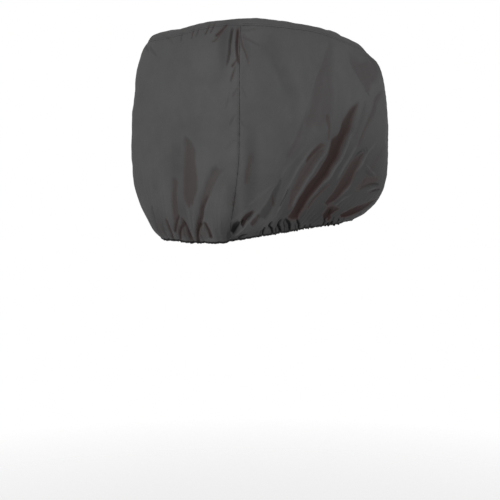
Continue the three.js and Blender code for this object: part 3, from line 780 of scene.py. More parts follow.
def fold_field(fold, run, drop):
    """Depth of one fold at each place, and how far its painted shade and painted highlight show there"""
    middle = (FACE_MIDDLES.get(fold.face, 0.0), 0.0)
    low, rim = curve_through(fold.low) + middle, curve_through(fold.rim) + middle
    span = np.linalg.norm(rim - low, axis=1).max()
    reach = max(NEAR_SHORTS * fold.short, NEAR_SPANS * span)
    corner_1 = np.minimum(low.min(0), rim.min(0)) - reach
    corner_2 = np.maximum(low.max(0), rim.max(0)) + reach
    centre = 0.5 * (corner_1[0] + corner_2[0])
    x = centre + (run_between(centre, run) if fold.face != "top" else run - centre)
    near = (x > corner_1[0]) & (x < corner_2[0]) & (drop > corner_1[1]) & (drop < corner_2[1])
    depth = np.zeros(run.shape)
    tone = np.zeros(run.shape)
    px, py = x[near], drop[near]
    if px.size == 0:
        return depth, tone
    low_gap, low_side, low_along = nearest_on(low, px, py)
    rim_gap, rim_side, rim_along = nearest_on(rim, px, py)
    along = (low_along * rim_gap + rim_along * low_gap) / (low_gap + rim_gap)
    wide_side = nearest_on(low, *rim[len(rim) // 2])[1]
    on_wide = low_side == wide_side
    beyond = on_wide & (rim_side == wide_side)
    out = np.where(on_wide, low_gap / (low_gap + rim_gap), low_gap / fold.short)
    out = np.where(beyond, 1 + rim_gap / np.maximum(low_gap - rim_gap, 1.0), out)
    inside = np.clip(1 - out, 0, 1)
    trough = fold.crisp * inside + (1 - fold.crisp) * ease(inside)
    lip = LIP_HEIGHT * np.exp(-np.abs((out - LIP_PLACE) / LIP_SPREAD) ** (2 - LIP_CRISPNESS * fold.crisp))
    more = SOFT_END * (1 - fold.crisp)
    to_tip, from_foot = (1 - along) / (TIP_FADE + more), along / (FOOT_FADE + more)
    depth[near] = fold.depth * ease(to_tip) * ease(from_foot) * (trough - lip)
    edge = np.minimum(TONE_EDGE + SOFT_EDGE * (1 - fold.crisp), EDGE_SHARE * (low_gap + rim_gap))
    shown = np.where(on_wide & ~beyond, ease(rim_gap / edge) * (RIM_TONE + (1 - RIM_TONE) * inside), 0.0)
    shown = np.where(on_wide, shown, ease(1 - out / SHORT_WALL_TONE))
    paler = 1 - TIP_PALER * along**3
    tone[near] = ease(to_tip / TONE_FADE) * ease(from_foot / TONE_FADE) * paler * shown
    return depth, tone


def shade_field(shade, run, drop):
    """How dark the painted shade of one dim part of the cloth is at each place"""
    across = run_between(FACE_MIDDLES[shade.face] + shade.across, run) / shade.wide
    along = (drop - shade.down) / shade.high
    return shade.dim * np.exp(-((across**2 + along**2) ** SHADE_POWER))


# Even noise over the strip, from seeded plane waves that close round the girth
def plane_waves(seed, count, shortest, longest, heading=0.0, spread=math.pi):
    rng = np.random.default_rng(seed)
    lengths = np.exp(rng.uniform(math.log(shortest), math.log(longest), count))
    angles = rng.uniform(-spread, spread, count) + heading
    turns = np.round(GIRTH * np.cos(angles) / lengths)
    return [*zip(turns, np.sin(angles) / lengths, rng.uniform(0, 2 * math.pi, count))]


def even_noise(waves, run, drop):
    total = 0
    for turns, rise, phase in waves:
        total = total + np.sin(2 * math.pi * (turns * run / GIRTH + rise * drop) + phase)
    return total / math.sqrt(len(waves) / 2)


WANDER_ACROSS = plane_waves(3, 10, 60, 160)
WANDER_DOWN = plane_waves(4, 10, 60, 160)
WANDER_SIZE = 1.2
SLACK = plane_waves(5, 14, 110, 300)
SLACK_SIZE = 1.6
CALM_REACH = 40.0
RIPPLE = plane_waves(6, 16, 28, 70)
RIPPLE_SIZE = 0.3
SEAM_RUFFLES = plane_waves(8, 12, 14, 40)
RUFFLE_SIZE = 0.5
RUFFLE_REACH = 16.0

# Faint streaks of cloth under tension, along the folds of the lower walls
STREAKS = {
    "starboard": plane_waves(21, 7, 26, 60, heading=math.radians(38), spread=0.16),
    "aft": plane_waves(22, 6, 24, 60, heading=math.radians(4), spread=0.14),
    "fore": plane_waves(23, 6, 26, 60, heading=math.radians(-6), spread=0.16),
    "port": plane_waves(24, 7, 26, 60, heading=math.radians(-38), spread=0.16),
}
STREAK_SIZE = 0.9
STREAK_START = 330.0
STREAK_GROWTH = 200.0
STREAK_OVERLAP = 12.0
STREAK_FADE = 50.0
STREAK_SHARPNESS = 1.6
STREAK_ROUNDING = 0.01


def streak_depth(run, drop):
    total = np.zeros(run.shape)
    lower = ease((drop - STREAK_START) / STREAK_GROWTH)
    for face, waves in STREAKS.items():
        beyond = np.abs(run_between(FACE_MIDDLES[face], run))
        on_face = ease((FACE_HALVES[face] + STREAK_OVERLAP - beyond) / STREAK_FADE)
        sharp = np.sqrt(np.abs(even_noise(waves, run, drop)) + STREAK_ROUNDING)
        total += STREAK_SIZE * (1 - STREAK_SHARPNESS * sharp) * on_face * lower
    return total


def seam_run(corner, down):
    """The run at which an upright seam lies"""
    drop = np.clip((down - SEAM_DRIFT_START) / (HEM_DOWN - SEAM_DRIFT_START), 0, 1)
    drift = SEAM_DRIFT if corner == 1 else 0.0
    return CORNER_RUNS[corner] - drift * drop**SEAM_DRIFT_POWER


def seam_gaps(run, way):
    """Distance of each place from the nearest upright seam and from the top seam"""
    down = down_of_way(way)
    upright = np.full(np.shape(run), np.inf)
    for corner in range(4):
        upright = np.minimum(upright, np.abs(run_between(seam_run(corner, down), run)))
    return np.where(way > TOP_EDGE - UPRIGHT_SEAM_START, upright, np.inf), np.abs(way - TOP_EDGE)


def seam_dip(gap):
    return np.clip(1 - gap / SEAM_DIP_WIDTH, 0, 1) ** SEAM_DIP_POWER


def cover(run, way, sink):
    """Points of the cloth, pressed in by folds and seams and then by sink, with its tones"""
    down = down_of_way(way)
    point = smooth_cover(run, way)
    normal = smooth_normal(run, way)
    drop = np.where(way < TOP_EDGE, SEAM_DOWN - (TOP_EDGE - way), down)
    x = run + WANDER_SIZE * even_noise(WANDER_ACROSS, run, drop)
    y = drop + WANDER_SIZE * even_noise(WANDER_DOWN, run, drop)
    on_wall = ease((down - SEAM_DOWN) / WALL_FADE)
    depth = streak_depth(run, drop) * on_wall
    tones = {name: np.zeros(run.shape) for name in TONES}
    groups = (ALL_WALL_FOLDS, x, y, on_wall), (ALL_SMALL_FOLDS, run, drop, 1.0)
    for folds, across, along, share in groups:
        for fold in folds:
            fold_depth, tone = fold_field(fold, across, along)
            depth += fold_depth * share
            for name in FOLD_TONES:
                tones[name] += (1 - tones[name]) * getattr(fold, name) * tone * share
    for shade in SHADES:
        tones["dim"] += (1 - tones["dim"]) * shade_field(shade, run, drop)
    on_top = ease((TOP_EDGE - way) / TOP_FADE)
    for fold in TOP_CREASES:
        depth += fold_field(fold, point[..., 0], point[..., 1])[0] * on_top
    upright, level = seam_gaps(run, way)
    near = np.minimum(upright, level)
    depth += SEAM_DIP * seam_dip(upright)
    depth += TOP_SEAM_DIP * seam_dip(level)
    depth += RUFFLE_SIZE * even_noise(SEAM_RUFFLES, run, drop) * np.exp(-near / RUFFLE_REACH)
    for waves, size, share in ((SLACK, SLACK_SIZE, ease(near / CALM_REACH)), (RIPPLE, RIPPLE_SIZE, 1.0)):
        on_strip = even_noise(waves, run, drop)
        in_plan = even_noise(waves, point[..., 0], point[..., 1])
        depth += size * share * (on_strip + (in_plan - on_strip) * on_top)
    return (point - normal * (depth + sink)[..., None]) * MM, tones


# Grids of the panels. Spacing of the cloth's points on the walls, near the hem and on the top panel.
WALL_SPACING = {"aft": 3.8, "starboard": 3.8, "fore": 5.0, "port": 5.0}
HEM_SPACING = {"aft": 2.6, "starboard": 2.6, "fore": 4.0, "port": 4.0}
TOP_SPACING = 5.0
HEM_ZONE_DOWN = 560.0
HEM_TUCK_IN = 1.4


def evenly(start, end, spacing):
    """Evenly spaced numbers strictly between two ends"""
    count = max(2, round((end - start) / spacing))
    return list(np.linspace(start, end, count + 1))[1:-1]


def turned(turns, thickness):
    """Insets, sinks, inner shifts and inner sinks of the lines of a grid where a panel turns in"""
    inset, sink, back, inward = np.array(turns).T
    return inset, sink, back * thickness, sink + inward * thickness


def wall_places(face, thickness):
    """Run, way and sink of the outer and of the inner points of one wall panel"""
    corner = FACE_ORDER.index(face)
    side_inset, side_sink, side_shift, side_inner = turned(UPRIGHT_TURN, thickness)
    top_inset, top_sink, top_shift, top_inner = turned(TOP_TURN, thickness)
    hem_zone = float(way_of_down(HEM_ZONE_DOWN))
    middle = evenly(TOP_EDGE + top_inset[-1], hem_zone, WALL_SPACING[face]) + [hem_zone]
    middle += evenly(hem_zone, HEM_EDGE + HEM_TUCK_IN, HEM_SPACING[face]) + [HEM_EDGE + HEM_TUCK_IN]
    ways = np.concatenate([TOP_EDGE + top_inset, middle])
    parts = np.array(evenly(0.0, 1.0, WALL_SPACING[face] / (2 * FACE_HALVES[face])))
    down = down_of_way(ways)
    start = seam_run(corner, down)
    end = seam_run((corner + 1) % 4, down) + (GIRTH if corner == 3 else 0.0)
    lead = start[:, None] + side_inset
    tail = end[:, None] - side_inset[::-1]
    run = np.concatenate([lead, lead[:, -1:] + (tail[:, :1] - lead[:, -1:]) * parts, tail], 1)
    way = np.repeat(ways[:, None], run.shape[1], 1)
    plain = np.zeros(len(parts))
    row_sink = np.concatenate([top_sink, np.zeros(len(middle))])[:, None]
    row_shift = np.concatenate([top_shift, np.zeros(len(middle))])[:, None]
    row_inner = np.concatenate([top_inner, np.full(len(middle), thickness)])[:, None]
    column_sink = np.concatenate([side_sink, plain, side_sink[::-1]])
    column_shift = np.concatenate([side_shift, plain, -side_shift[::-1]])
    column_inner = np.concatenate([side_inner, plain + thickness, side_inner[::-1]])
    outer = run, way, np.maximum(row_sink, column_sink)
    return outer, (run + column_shift, way + row_shift, np.maximum(row_inner, column_inner))


def run_of_square(u, v):
    """The run along the strip that a direction from the crown leads to"""
    flat = np.abs(v) >= np.abs(u)
    safe_u, safe_v = np.where(u == 0, 1, u), np.where(v == 0, 1, v)
    ends = np.where(v < 0, -END_HALF * u / safe_v, FACE_MIDDLES["fore"] - END_HALF * u / safe_v)
    port = FACE_MIDDLES["port"] + SIDE_HALF * v / safe_u
    sides = np.where(u > 0, FACE_MIDDLES["starboard"] + SIDE_HALF * v / safe_u, port)
    return np.where(flat, ends, sides)


def top_places(thickness):
    """Run, way and sink of the outer and of the inner points of the top panel"""
    inset, sinks, shifts, inners = turned(TOP_TURN, thickness)
    edge = list(1 - inset / TOP_EDGE)
    seam = next(s for s in SECTIONS if s.down == SEAM_DOWN)
    lines = []
    for half in (seam.side, 0.5 * (seam.aft + seam.fore)):
        middle = evenly(-edge[-1], edge[-1], TOP_SPACING / half)
        lines.append(np.array([-e for e in edge] + middle + edge[::-1]))
    u, v = np.meshgrid(lines[0], -lines[1])
    way = np.maximum(np.abs(u), np.abs(v)) * TOP_EDGE
    rows, columns = u.shape
    row_level = np.minimum(np.arange(rows), rows - 1 - np.arange(rows))[:, None]
    column_level = np.minimum(np.arange(columns), columns - 1 - np.arange(columns))
    lines_in = np.minimum(row_level, column_level)
    turned_in = lines_in < len(inset)
    level = np.minimum(lines_in, len(inset) - 1)
    sink = np.where(turned_in, sinks[level], 0.0)
    shift = np.where(turned_in, shifts[level], 0.0)
    inner_sink = np.where(turned_in, inners[level], thickness)
    run = run_of_square(u, v)
    return (run, way, sink), (run, way - shift, inner_sink)


def mesh_of(name, points, faces):
    """A smooth-shaded mesh"""
    mesh = bpy.data.meshes.new(name)
    mesh.from_pydata(points.tolist(), [], faces)
    mesh.validate()
    mesh.update()
    mesh.polygons.foreach_set("use_smooth", np.ones(len(mesh.polygons), bool))
    return mesh


def add_pattern(mesh, strip):
    """Pattern coordinates along the strip, in metres, as the mesh's UV map"""
    layer = mesh.uv_layers.new(name="pattern")
    corners = np.zeros(len(mesh.loops), np.int32)
    mesh.loops.foreach_get("vertex_index", corners)
    layer.data.foreach_set("uv", strip[corners].astype(np.float32).ravel())


def add_values(mesh, name, values):
    """One number for each point, which the cloth's material reads"""
    layer = mesh.attributes.new(name, "FLOAT", "POINT")
    layer.data.foreach_set("value", values.astype(np.float32))


def sheet_faces(rows, columns):
    """Faces of a closed sheet: its outer side, its inner side and the four edges between them"""
    index = np.arange(rows * columns).reshape(rows, columns)
    half = rows * columns
    a, b = index[:-1, :-1].ravel(), index[1:, :-1].ravel()
    c, d = index[1:, 1:].ravel(), index[:-1, 1:].ravel()
    faces = [np.stack([a, b, c, d], 1), half + np.stack([a, d, c, b], 1)]
    for first, second in (
        (index[0, :-1], index[0, 1:]),
        (index[-1, 1:], index[-1, :-1]),
        (index[1:, 0], index[:-1, 0]),
        (index[:-1, -1], index[1:, -1]),
    ):
        faces.append(np.stack([first, second, half + second, half + first], 1))
    return np.concatenate(faces).tolist()


def grid_area(points):
    """Area of a grid of points, in square metres"""
    diagonal_1 = points[1:, 1:] - points[:-1, :-1]
    diagonal_2 = points[:-1, 1:] - points[1:, :-1]
    return float(0.5 * np.linalg.norm(np.cross(diagonal_1, diagonal_2), axis=-1).sum())


def sheet_mesh(name, outer_places, inner_places):
    """A closed sheet of cloth with its pattern coordinates and its tones, and the area of its outer side"""
    outer, outer_tones = cover(*outer_places)
    inner, inner_tones = cover(*inner_places)
    points = np.concatenate([outer.reshape(-1, 3), inner.reshape(-1, 3)])
    mesh = mesh_of(name, points, sheet_faces(*outer.shape[:2]))
    strip = [np.stack(places[:2], -1).reshape(-1, 2) * MM for places in (outer_places, inner_places)]
    add_pattern(mesh, np.concatenate(strip))
    for tone in TONES:
        add_values(mesh, tone, np.concatenate([outer_tones[tone].ravel(), inner_tones[tone].ravel()]))
    add_values(mesh, "inner_side", np.repeat([0.0, 1.0], len(points) // 2))
    return mesh, grid_area(outer)


def add_piece(name, mesh, material, slot, *nodes):
    """Puts a finished mesh in the scene with its material, fastens it to the body and hides the imported
    parts that it replaces
    """
    piece = bpy.data.objects.new(name, mesh)
    bpy.context.scene.collection.objects.link(piece)
    mesh.materials.append(material)
    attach(piece, BODY)
    if nodes:
        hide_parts(*nodes)
    return piece


# Elastic binding round the hem
BINDING_SIDES = 12
BINDING_STEP = 2.4
BINDING_RIB_PITCH = 5.2
BINDING_RIB_HEIGHT = 0.3
BINDING_RIB_MEAN = 0.6
HEM_PROBE = 4.0


def hem_frame(run):
    """Points on the hem line with the cloth's outward and downward directions there"""
    edge_way = np.full(run.shape, HEM_EDGE)
    edge = cover(run, edge_way, np.zeros(run.shape))[0]
    above = cover(run, edge_way - HEM_PROBE, np.zeros(run.shape))[0]
    downward = edge - above
    downward /= np.linalg.norm(downward, axis=-1, keepdims=True)
    along = np.roll(edge, -1, 0) - np.roll(edge, 1, 0)
    outward = np.cross(downward, along)
    outward /= np.linalg.norm(outward, axis=-1, keepdims=True)
    return edge, outward, downward


def binding_mesh(name, half_height, half_thickness, cloth_thickness):
    """A closed ring of ribbed elastic tape under the hem edge, oval in section"""
    count = round(GIRTH / BINDING_STEP)
    run = np.arange(count) * GIRTH / count
    edge, outward, downward = hem_frame(run)
    centre = edge - outward * 0.5 * cloth_thickness + downward * half_height
    ribs = np.abs(np.sin(math.pi * run / BINDING_RIB_PITCH))
    swell = (1 + BINDING_RIB_HEIGHT * MM * (ribs - BINDING_RIB_MEAN) / half_thickness)[:, None]
    rings, faces = [], []
    for k in range(BINDING_SIDES):
        angle = 2 * math.pi * k / BINDING_SIDES
        across = outward * half_thickness * math.sin(angle) * swell
        rings.append(centre - downward * half_height * math.cos(angle) + across)
        here = np.arange(count) * BINDING_SIDES + k
        there = np.arange(count) * BINDING_SIDES + (k + 1) % BINDING_SIDES
        faces.append(np.stack([here, there, np.roll(there, -1), np.roll(here, -1)], 1))
    mesh = mesh_of(name, np.stack(rings, 1).reshape(-1, 3), np.concatenate(faces).tolist())
    girth_step = 2 * half_height / BINDING_SIDES
    strip = [np.repeat(run * MM, BINDING_SIDES), np.tile(np.arange(BINDING_SIDES) * girth_step, count)]
    add_pattern(mesh, np.stack(strip, 1))
    return mesh


# Rows of stitches, and the rounded tip of one stitch in shares of the thread's thickness
STITCH_RISE = 0.1
TOP_STITCH_INSET = 5.0
UPRIGHT_STITCH_INSET = 6.0
UPRIGHT_STITCH_START = 8.0
UPRIGHT_STITCH_END = 2.0
HEM_STITCH_RISE = 15.0
TOP_STITCH_STRETCH = 1.15
HEM_STITCH_STRETCH = 1.3
STITCH_SIDES = 6
STITCH_TIP = 0.3
STITCH_TIP_WIDTH = 0.45
END_FACING = 0.9


def stitch_lines(pitch):
    """Runs and ways of the rows of stitches: on the top panel, over the hem and beside the upright seams"""
    round_runs = np.arange(0, GIRTH, pitch * TOP_STITCH_STRETCH)
    lines = [(round_runs, np.full(round_runs.shape, TOP_EDGE - TOP_STITCH_INSET))]
    hem_runs = np.arange(0, GIRTH, pitch * HEM_STITCH_STRETCH)
    lines.append((hem_runs, np.full(hem_runs.shape, HEM_EDGE - HEM_STITCH_RISE)))
    ways = np.arange(TOP_EDGE + UPRIGHT_STITCH_START, HEM_EDGE - UPRIGHT_STITCH_END, pitch)
    for corner in range(4):
        side = -1 if corner in (1, 3) else 1
        lines.append((seam_run(corner, down_of_way(ways)) + side * UPRIGHT_STITCH_INSET, ways))
    return lines


def one_stitch(length, thickness):
    """A short round-ended stitch along X, modelled by hand, as its points and faces"""
    bpy.ops.object.select_all(action="DESELECT")
    bpy.ops.mesh.primitive_cylinder_add(
        vertices=STITCH_SIDES, radius=0.5 * thickness, depth=length, rotation=(0, math.pi / 2, 0)
    )
    stitch = bpy.context.object
    bpy.ops.object.transform_apply(rotation=True)
    bpy.ops.object.mode_set(mode="EDIT")
    bpy.ops.mesh.select_mode(type="FACE")
    for end in (-1, 1):
        bpy.ops.mesh.select_all(action="DESELECT")
        bpy.ops.object.mode_set(mode="OBJECT")
        for face in stitch.data.polygons:
            face.select = face.normal.x * end > END_FACING
        bpy.ops.object.mode_set(mode="EDIT")
        outward = {"value": (end * STITCH_TIP * thickness, 0, 0)}
        bpy.ops.mesh.extrude_region_move(TRANSFORM_OT_translate=outward)
        bpy.ops.transform.resize(value=(1, STITCH_TIP_WIDTH, STITCH_TIP_WIDTH))
    bpy.ops.object.mode_set(mode="OBJECT")
    points = np.array([v.co[:] for v in stitch.data.vertices])
    faces = [list(face.vertices) for face in stitch.data.polygons]
    bpy.data.meshes.remove(stitch.data)
    return points, faces


def stitch_mesh(name, length, thickness, pitch):
    """All the stitches, copied along their rows into one mesh"""
    shape, shape_faces = one_stitch(length, thickness)
    points, faces = [], []
    for run, way in stitch_lines(pitch / MM):
        place = cover(run, way, np.full(run.shape, -STITCH_RISE))[0]
        ahead = np.gradient(place, axis=0)
        ahead /= np.linalg.norm(ahead, axis=-1, keepdims=True)
        out = smooth_normal(run, way)
        across = np.cross(ahead, out)
        for middle, x, y, z in zip(place, ahead, across, out):
            base = len(points) * len(shape)
            points.append(middle + shape @ np.stack([x, y, z]))
            faces += [[base + corner for corner in face] for face in shape_faces]
    return mesh_of(name, np.concatenate(points), faces)


# Materials. A scale is that of a noise over the piece, a finish is the least and the most of a roughness, and
# a relief, which is how high a bump stands, and a pitch are in metres.
PLAIN_ROUGHNESS = 0.8
MOTTLE_SCALE = 9.0
MOTTLE_DETAIL = 4.0
MOTTLE_BAND = (0.35, 0.65)
PALE_SHARE = 1.12
# The brown painted shade of the folds has its half colour at this share and its full colour at one
HALF_FOLD_SHADE = 0.5
NOISE_BAND = (0.3, 0.7)
CLOTH_FINISH_SCALE = 30.0
CLOTH_FINISH = (0.62, 0.72)
CLOTH_SHINE = 0.2
CLOTH_SHEEN = 0.04
# Specular level where painted shade lies
SHADED_SHINE = 0.02
SHEEN_ROUGHNESS = 0.5
WEAVE_STRENGTH = 0.25
WEAVE_RELIEF = 0.00012
CRUMPLE_SCALE = 42.0
CRUMPLE_GRAIN = 0.55
CRUMPLE_STRENGTH = 0.3
CRUMPLE_RELIEF = 0.0016
BINDING_SHINE = 0.2
BINDING_SHEEN = 0.05
RIB_PITCH = 0.0016
RIB_STRENGTH = 0.5
RIB_RELIEF = 0.0003
BINDING_FINISH_SCALE = 60.0
BINDING_FINISH = (0.72, 0.88)
THREAD_SHINE = 0.3
TWIST_SCALE = 2500.0
TWIST_STRENGTH = 0.3
TWIST_RELIEF = 0.0001
THREAD_FINISH_SCALE = 900.0
THREAD_FINISH = (0.5, 0.7)
WAVE_RADIANS = 20


def new_material(name, base, specular, sheen=0.0):
    """A material, and its shader. A roughness that a noise drives takes the place of the plain one"""
    material = bpy.data.materials.new(name)
    material.use_nodes = True
    shader = material.node_tree.nodes["Principled BSDF"]
    shader.inputs["Base Color"].default_value = (*base, 1)
    shader.inputs["Roughness"].default_value = PLAIN_ROUGHNESS
    shader.inputs["Specular IOR Level"].default_value = specular
    shader.inputs["Sheen Weight"].default_value = sheen
    shader.inputs["Sheen Roughness"].default_value = SHEEN_ROUGHNESS
    return material, shader


class Nodes:
    """Adds and links the nodes of one material"""

    def __init__(self, material):
        self.tree = material.node_tree

    def add(self, kind, links=None, **settings):
        node = self.tree.nodes.new(kind)
        for key, value in settings.items():
            setattr(node, key, value)
        for key, value in (links or {}).items():
            self.set(node.inputs[key], value)
        return node

    def set(self, socket, value):
        if isinstance(value, bpy.types.NodeSocket):
            self.tree.links.new(value, socket)
        else:
            socket.default_value = value

    def place(self):
        return self.add("ShaderNodeTexCoord").outputs["Object"]

    def pattern(self):
        return self.add("ShaderNodeUVMap", uv_map="pattern").outputs["UV"]

    def attribute(self, name):
        return self.add("ShaderNodeAttribute", attribute_name=name).outputs["Fac"]

    def more(self, first, second):
        node = self.add("ShaderNodeMath", {0: first, 1: second}, operation="MAXIMUM")
        return node.outputs[0]

    def mix(self, share, first, second):
        """Two colours mixed, whose sockets on the node are 6 and 7"""
        node = self.add("ShaderNodeMix", {0: share, 6: first, 7: second}, data_type="RGBA")
        return node.outputs[2]

    def bands(self, pattern, direction, pitch):
        """Even bands. At scale 1 the texture's wave turns by WAVE_RADIANS over one unit"""
        links = {"Vector": pattern, "Scale": 2 * math.pi / (WAVE_RADIANS * pitch)}
        node = self.add("ShaderNodeTexWave", links, wave_type="BANDS", bands_direction=direction)
        return node.outputs["Fac"]

    def noise(self, where, scale, detail=3.0, roughness=0.5):
        links = {"Vector": where, "Scale": scale, "Detail": detail, "Roughness": roughness}
        return self.add("ShaderNodeTexNoise", links).outputs["Fac"]

    def spread(self, value, low, high, to_low=0.0, to_high=1.0):
        links = {0: value, 1: low, 2: high, 3: to_low, 4: to_high}
        return self.add("ShaderNodeMapRange", links).outputs[0]

    def bump(self, height, strength, relief, under=None):
        links = {"Strength": strength, "Distance": relief, "Height": height}
        if under is not None:
            links["Normal"] = under
        return self.add("ShaderNodeBump", links).outputs[0]


def cloth_material(sizes, colours):
    """Coated cloth: mottled, with broad painted shade, painted highlight on ridges, brown and near-black
    painted shade in its folds, and its weave
    """
    material, shader = new_material("charcoal_cloth", colours.cloth, CLOTH_SHINE, CLOTH_SHEEN)
    nodes = Nodes(material)
    pattern, place = nodes.pattern(), nodes.place()
    worn, dark, pale, dim = [nodes.attribute(name) for name in TONES]
    mottle = nodes.spread(nodes.noise(place, MOTTLE_SCALE, MOTTLE_DETAIL), *MOTTLE_BAND)
    paler = [PALE_SHARE * value for value in colours.cloth]
    colour = nodes.mix(mottle, (*colours.cloth, 1), (*paler, 1))
    # Broad painted shade where the cloth is dim, in the binding's near-black colour
    colour = nodes.mix(dim, colour, (*colours.binding, 1))
    # Painted highlight along ridges and some fold walls
    colour = nodes.mix(pale, colour, (*colours.ridge_highlight, 1))
    # Painted shade on the fold walls, tinted brown: first its half colour, then its full colour
    colour = nodes.mix(nodes.spread(worn, 0.0, HALF_FOLD_SHADE), colour, (*colours.half_fold_shade, 1))
    colour = nodes.mix(nodes.spread(worn, HALF_FOLD_SHADE, 1.0), colour, (*colours.worn, 1))
    # Near-black painted shade in notches, tucks and fold bottoms, in the binding's colour
    colour = nodes.mix(dark, colour, (*colours.binding, 1))
    colour = nodes.mix(nodes.attribute("inner_side"), colour, (*colours.inner, 1))
    nodes.set(shader.inputs["Base Color"], colour)
    finish = nodes.spread(nodes.noise(place, CLOTH_FINISH_SCALE), *NOISE_BAND, *CLOTH_FINISH)
    nodes.set(shader.inputs["Roughness"], finish)
    # Specular level and sheen fall away where any painted shade lies
    dull = nodes.more(nodes.more(worn, dark), dim)
    nodes.set(shader.inputs["Specular IOR Level"], nodes.spread(dull, 0.0, 1.0, CLOTH_SHINE, SHADED_SHINE))
    nodes.set(shader.inputs["Sheen Weight"], nodes.spread(dull, 0.0, 1.0, CLOTH_SHEEN, 0.0))
    weave = nodes.more(*[nodes.bands(pattern, direction, sizes.weave_pitch) for direction in "XY"])
    crumple = nodes.noise(place, CRUMPLE_SCALE, roughness=CRUMPLE_GRAIN)
    relief = nodes.bump(weave, WEAVE_STRENGTH, WEAVE_RELIEF)
    nodes.set(shader.inputs["Normal"], nodes.bump(crumple, CRUMPLE_STRENGTH, CRUMPLE_RELIEF, relief))
    return material


def binding_material(colours):
    """Ribbed elastic tape"""
    material, shader = new_material("elastic_binding", colours.binding, BINDING_SHINE, BINDING_SHEEN)
    nodes = Nodes(material)
    ribs = nodes.bands(nodes.pattern(), "X", RIB_PITCH)
    nodes.set(shader.inputs["Normal"], nodes.bump(ribs, RIB_STRENGTH, RIB_RELIEF))
    finish = nodes.spread(nodes.noise(nodes.place(), BINDING_FINISH_SCALE), *NOISE_BAND, *BINDING_FINISH)
    nodes.set(shader.inputs["Roughness"], finish)
    return material


def thread_material(colours):
    """Twisted sewing thread"""
    material, shader = new_material("sewing_thread", colours.thread, THREAD_SHINE)
    nodes = Nodes(material)
    place = nodes.place()
    twist = nodes.noise(place, TWIST_SCALE, detail=1.0)
    nodes.set(shader.inputs["Normal"], nodes.bump(twist, TWIST_STRENGTH, TWIST_RELIEF))
    finish = nodes.spread(nodes.noise(place, THREAD_FINISH_SCALE), *NOISE_BAND, *THREAD_FINISH)
    nodes.set(shader.inputs["Roughness"], finish)
    return material


class HoodSizes(bpy.types.PropertyGroup):
    """Sizes that a maker may change"""

    cloth_thickness: FloatProperty(
        name="Cloth thickness", description="Thickness of the coated cloth", default=0.0012, unit="LENGTH"
    )
    weave_pitch: FloatProperty(
        name="Weave pitch", description="Distance between two threads", default=0.0011, unit="LENGTH"
    )
    binding_height: FloatProperty(
        name="Binding height", description="Height of the elastic binding", default=0.0092, unit="LENGTH"
    )
    binding_thickness: FloatProperty(
        name="Binding thickness", description="Thickness of the binding", default=0.0048, unit="LENGTH"
    )
    stitch_length: FloatProperty(
        name="Stitch length", description="Length of one stitch on the cloth", default=0.0028, unit="LENGTH"
    )
    stitch_pitch: FloatProperty(
        name="Stitch pitch", description="Distance from one stitch to the next", default=0.004, unit="LENGTH"
    )
    thread_thickness: FloatProperty(
        name="Thread thickness", description="Thickness of the sewing thread", default=0.0005, unit="LENGTH"
    )


class HoodColours(bpy.types.PropertyGroup):
    """Colours that a maker may change"""

    cloth: FloatVectorProperty(
        name="Cloth", description="Outer side of the cloth", default=(0.056, 0.056, 0.056), subtype="COLOR"
    )
    # Painted shade on the fold walls, tinted brown, and its half colour
    worn: FloatVectorProperty(
        name="Painted fold shade", description="Brown painted shade on fold walls", default=(0.0275, 0.0176, 0.0168), subtype="COLOR"
    )
    half_fold_shade: FloatVectorProperty(
        name="Half painted fold shade", description="Half as much painted shade", default=(0.0475, 0.0385, 0.0378), subtype="COLOR"
    )
    # Painted highlight on ridges
    ridge_highlight: FloatVectorProperty(
        name="Ridge highlight", description="Painted highlight on ridges", default=(0.07, 0.07, 0.071), subtype="COLOR"
    )
    inner: FloatVectorProperty(
        name="Inner side", description="Uncoated inner side", default=(0.045, 0.045, 0.047), subtype="COLOR"
    )
    # Also the colour of the near-black and of the broad painted shade on the cloth
    binding: FloatVectorProperty(
        name="Binding", description="Elastic binding", default=(0.006, 0.0056, 0.0056), subtype="COLOR"
    )
    thread: FloatVectorProperty(
        name="Thread", description="Sewing thread", default=(0.045, 0.044, 0.043), subtype="COLOR"
    )


def piece_name(face):
    return face + "_panel_cloth"


class HOOD_OT_top_panel(bpy.types.Operator):
    """Makes the top panel as a closed sheet of cloth, its edges turned in to the seam"""

    bl_idname = "hood.top_panel"
    bl_label = "Top panel"

    def execute(self, context):
        sizes, colours = context.scene.hood_sizes, context.scene.hood_colours
        thickness = sizes.cloth_thickness / MM
        mesh, area = sheet_mesh(piece_name("top"), *top_places(thickness))
        piece = add_piece(mesh.name, mesh, cloth_material(sizes, colours), CLOTH_SLOT, "top_panel")
        return {"FINISHED"}


class HOOD_OT_wall_panels(bpy.types.Operator):
    """Makes the four wall panels with their folds, seams and gathered hem"""

    bl_idname = "hood.wall_panels"
    bl_label = "Wall panels"

    def execute(self, context):
        sizes, colours = context.scene.hood_sizes, context.scene.hood_colours
        thickness = sizes.cloth_thickness / MM
        cloth = bpy.data.materials.get("charcoal_cloth") or cloth_material(sizes, colours)
        for face in FACE_ORDER:
            mesh, area = sheet_mesh(piece_name(face), *wall_places(face, thickness))
            piece = add_piece(mesh.name, mesh, cloth, CLOTH_SLOT, face + "_panel")
        return {"FINISHED"}


class HOOD_OT_hem_binding(bpy.types.Operator):
    """Makes the ribbed elastic binding that draws in the hem"""

    bl_idname = "hood.hem_binding"
    bl_label = "Hem binding"

    def execute(self, context):
        sizes, colours = context.scene.hood_sizes, context.scene.hood_colours
        halves = 0.5 * sizes.binding_height, 0.5 * sizes.binding_thickness
        mesh = binding_mesh("hem_binding", *halves, sizes.cloth_thickness)
        add_piece(mesh.name, mesh, binding_material(colours), ELASTIC_SLOT, "hem_elastic")
        return {"FINISHED"}


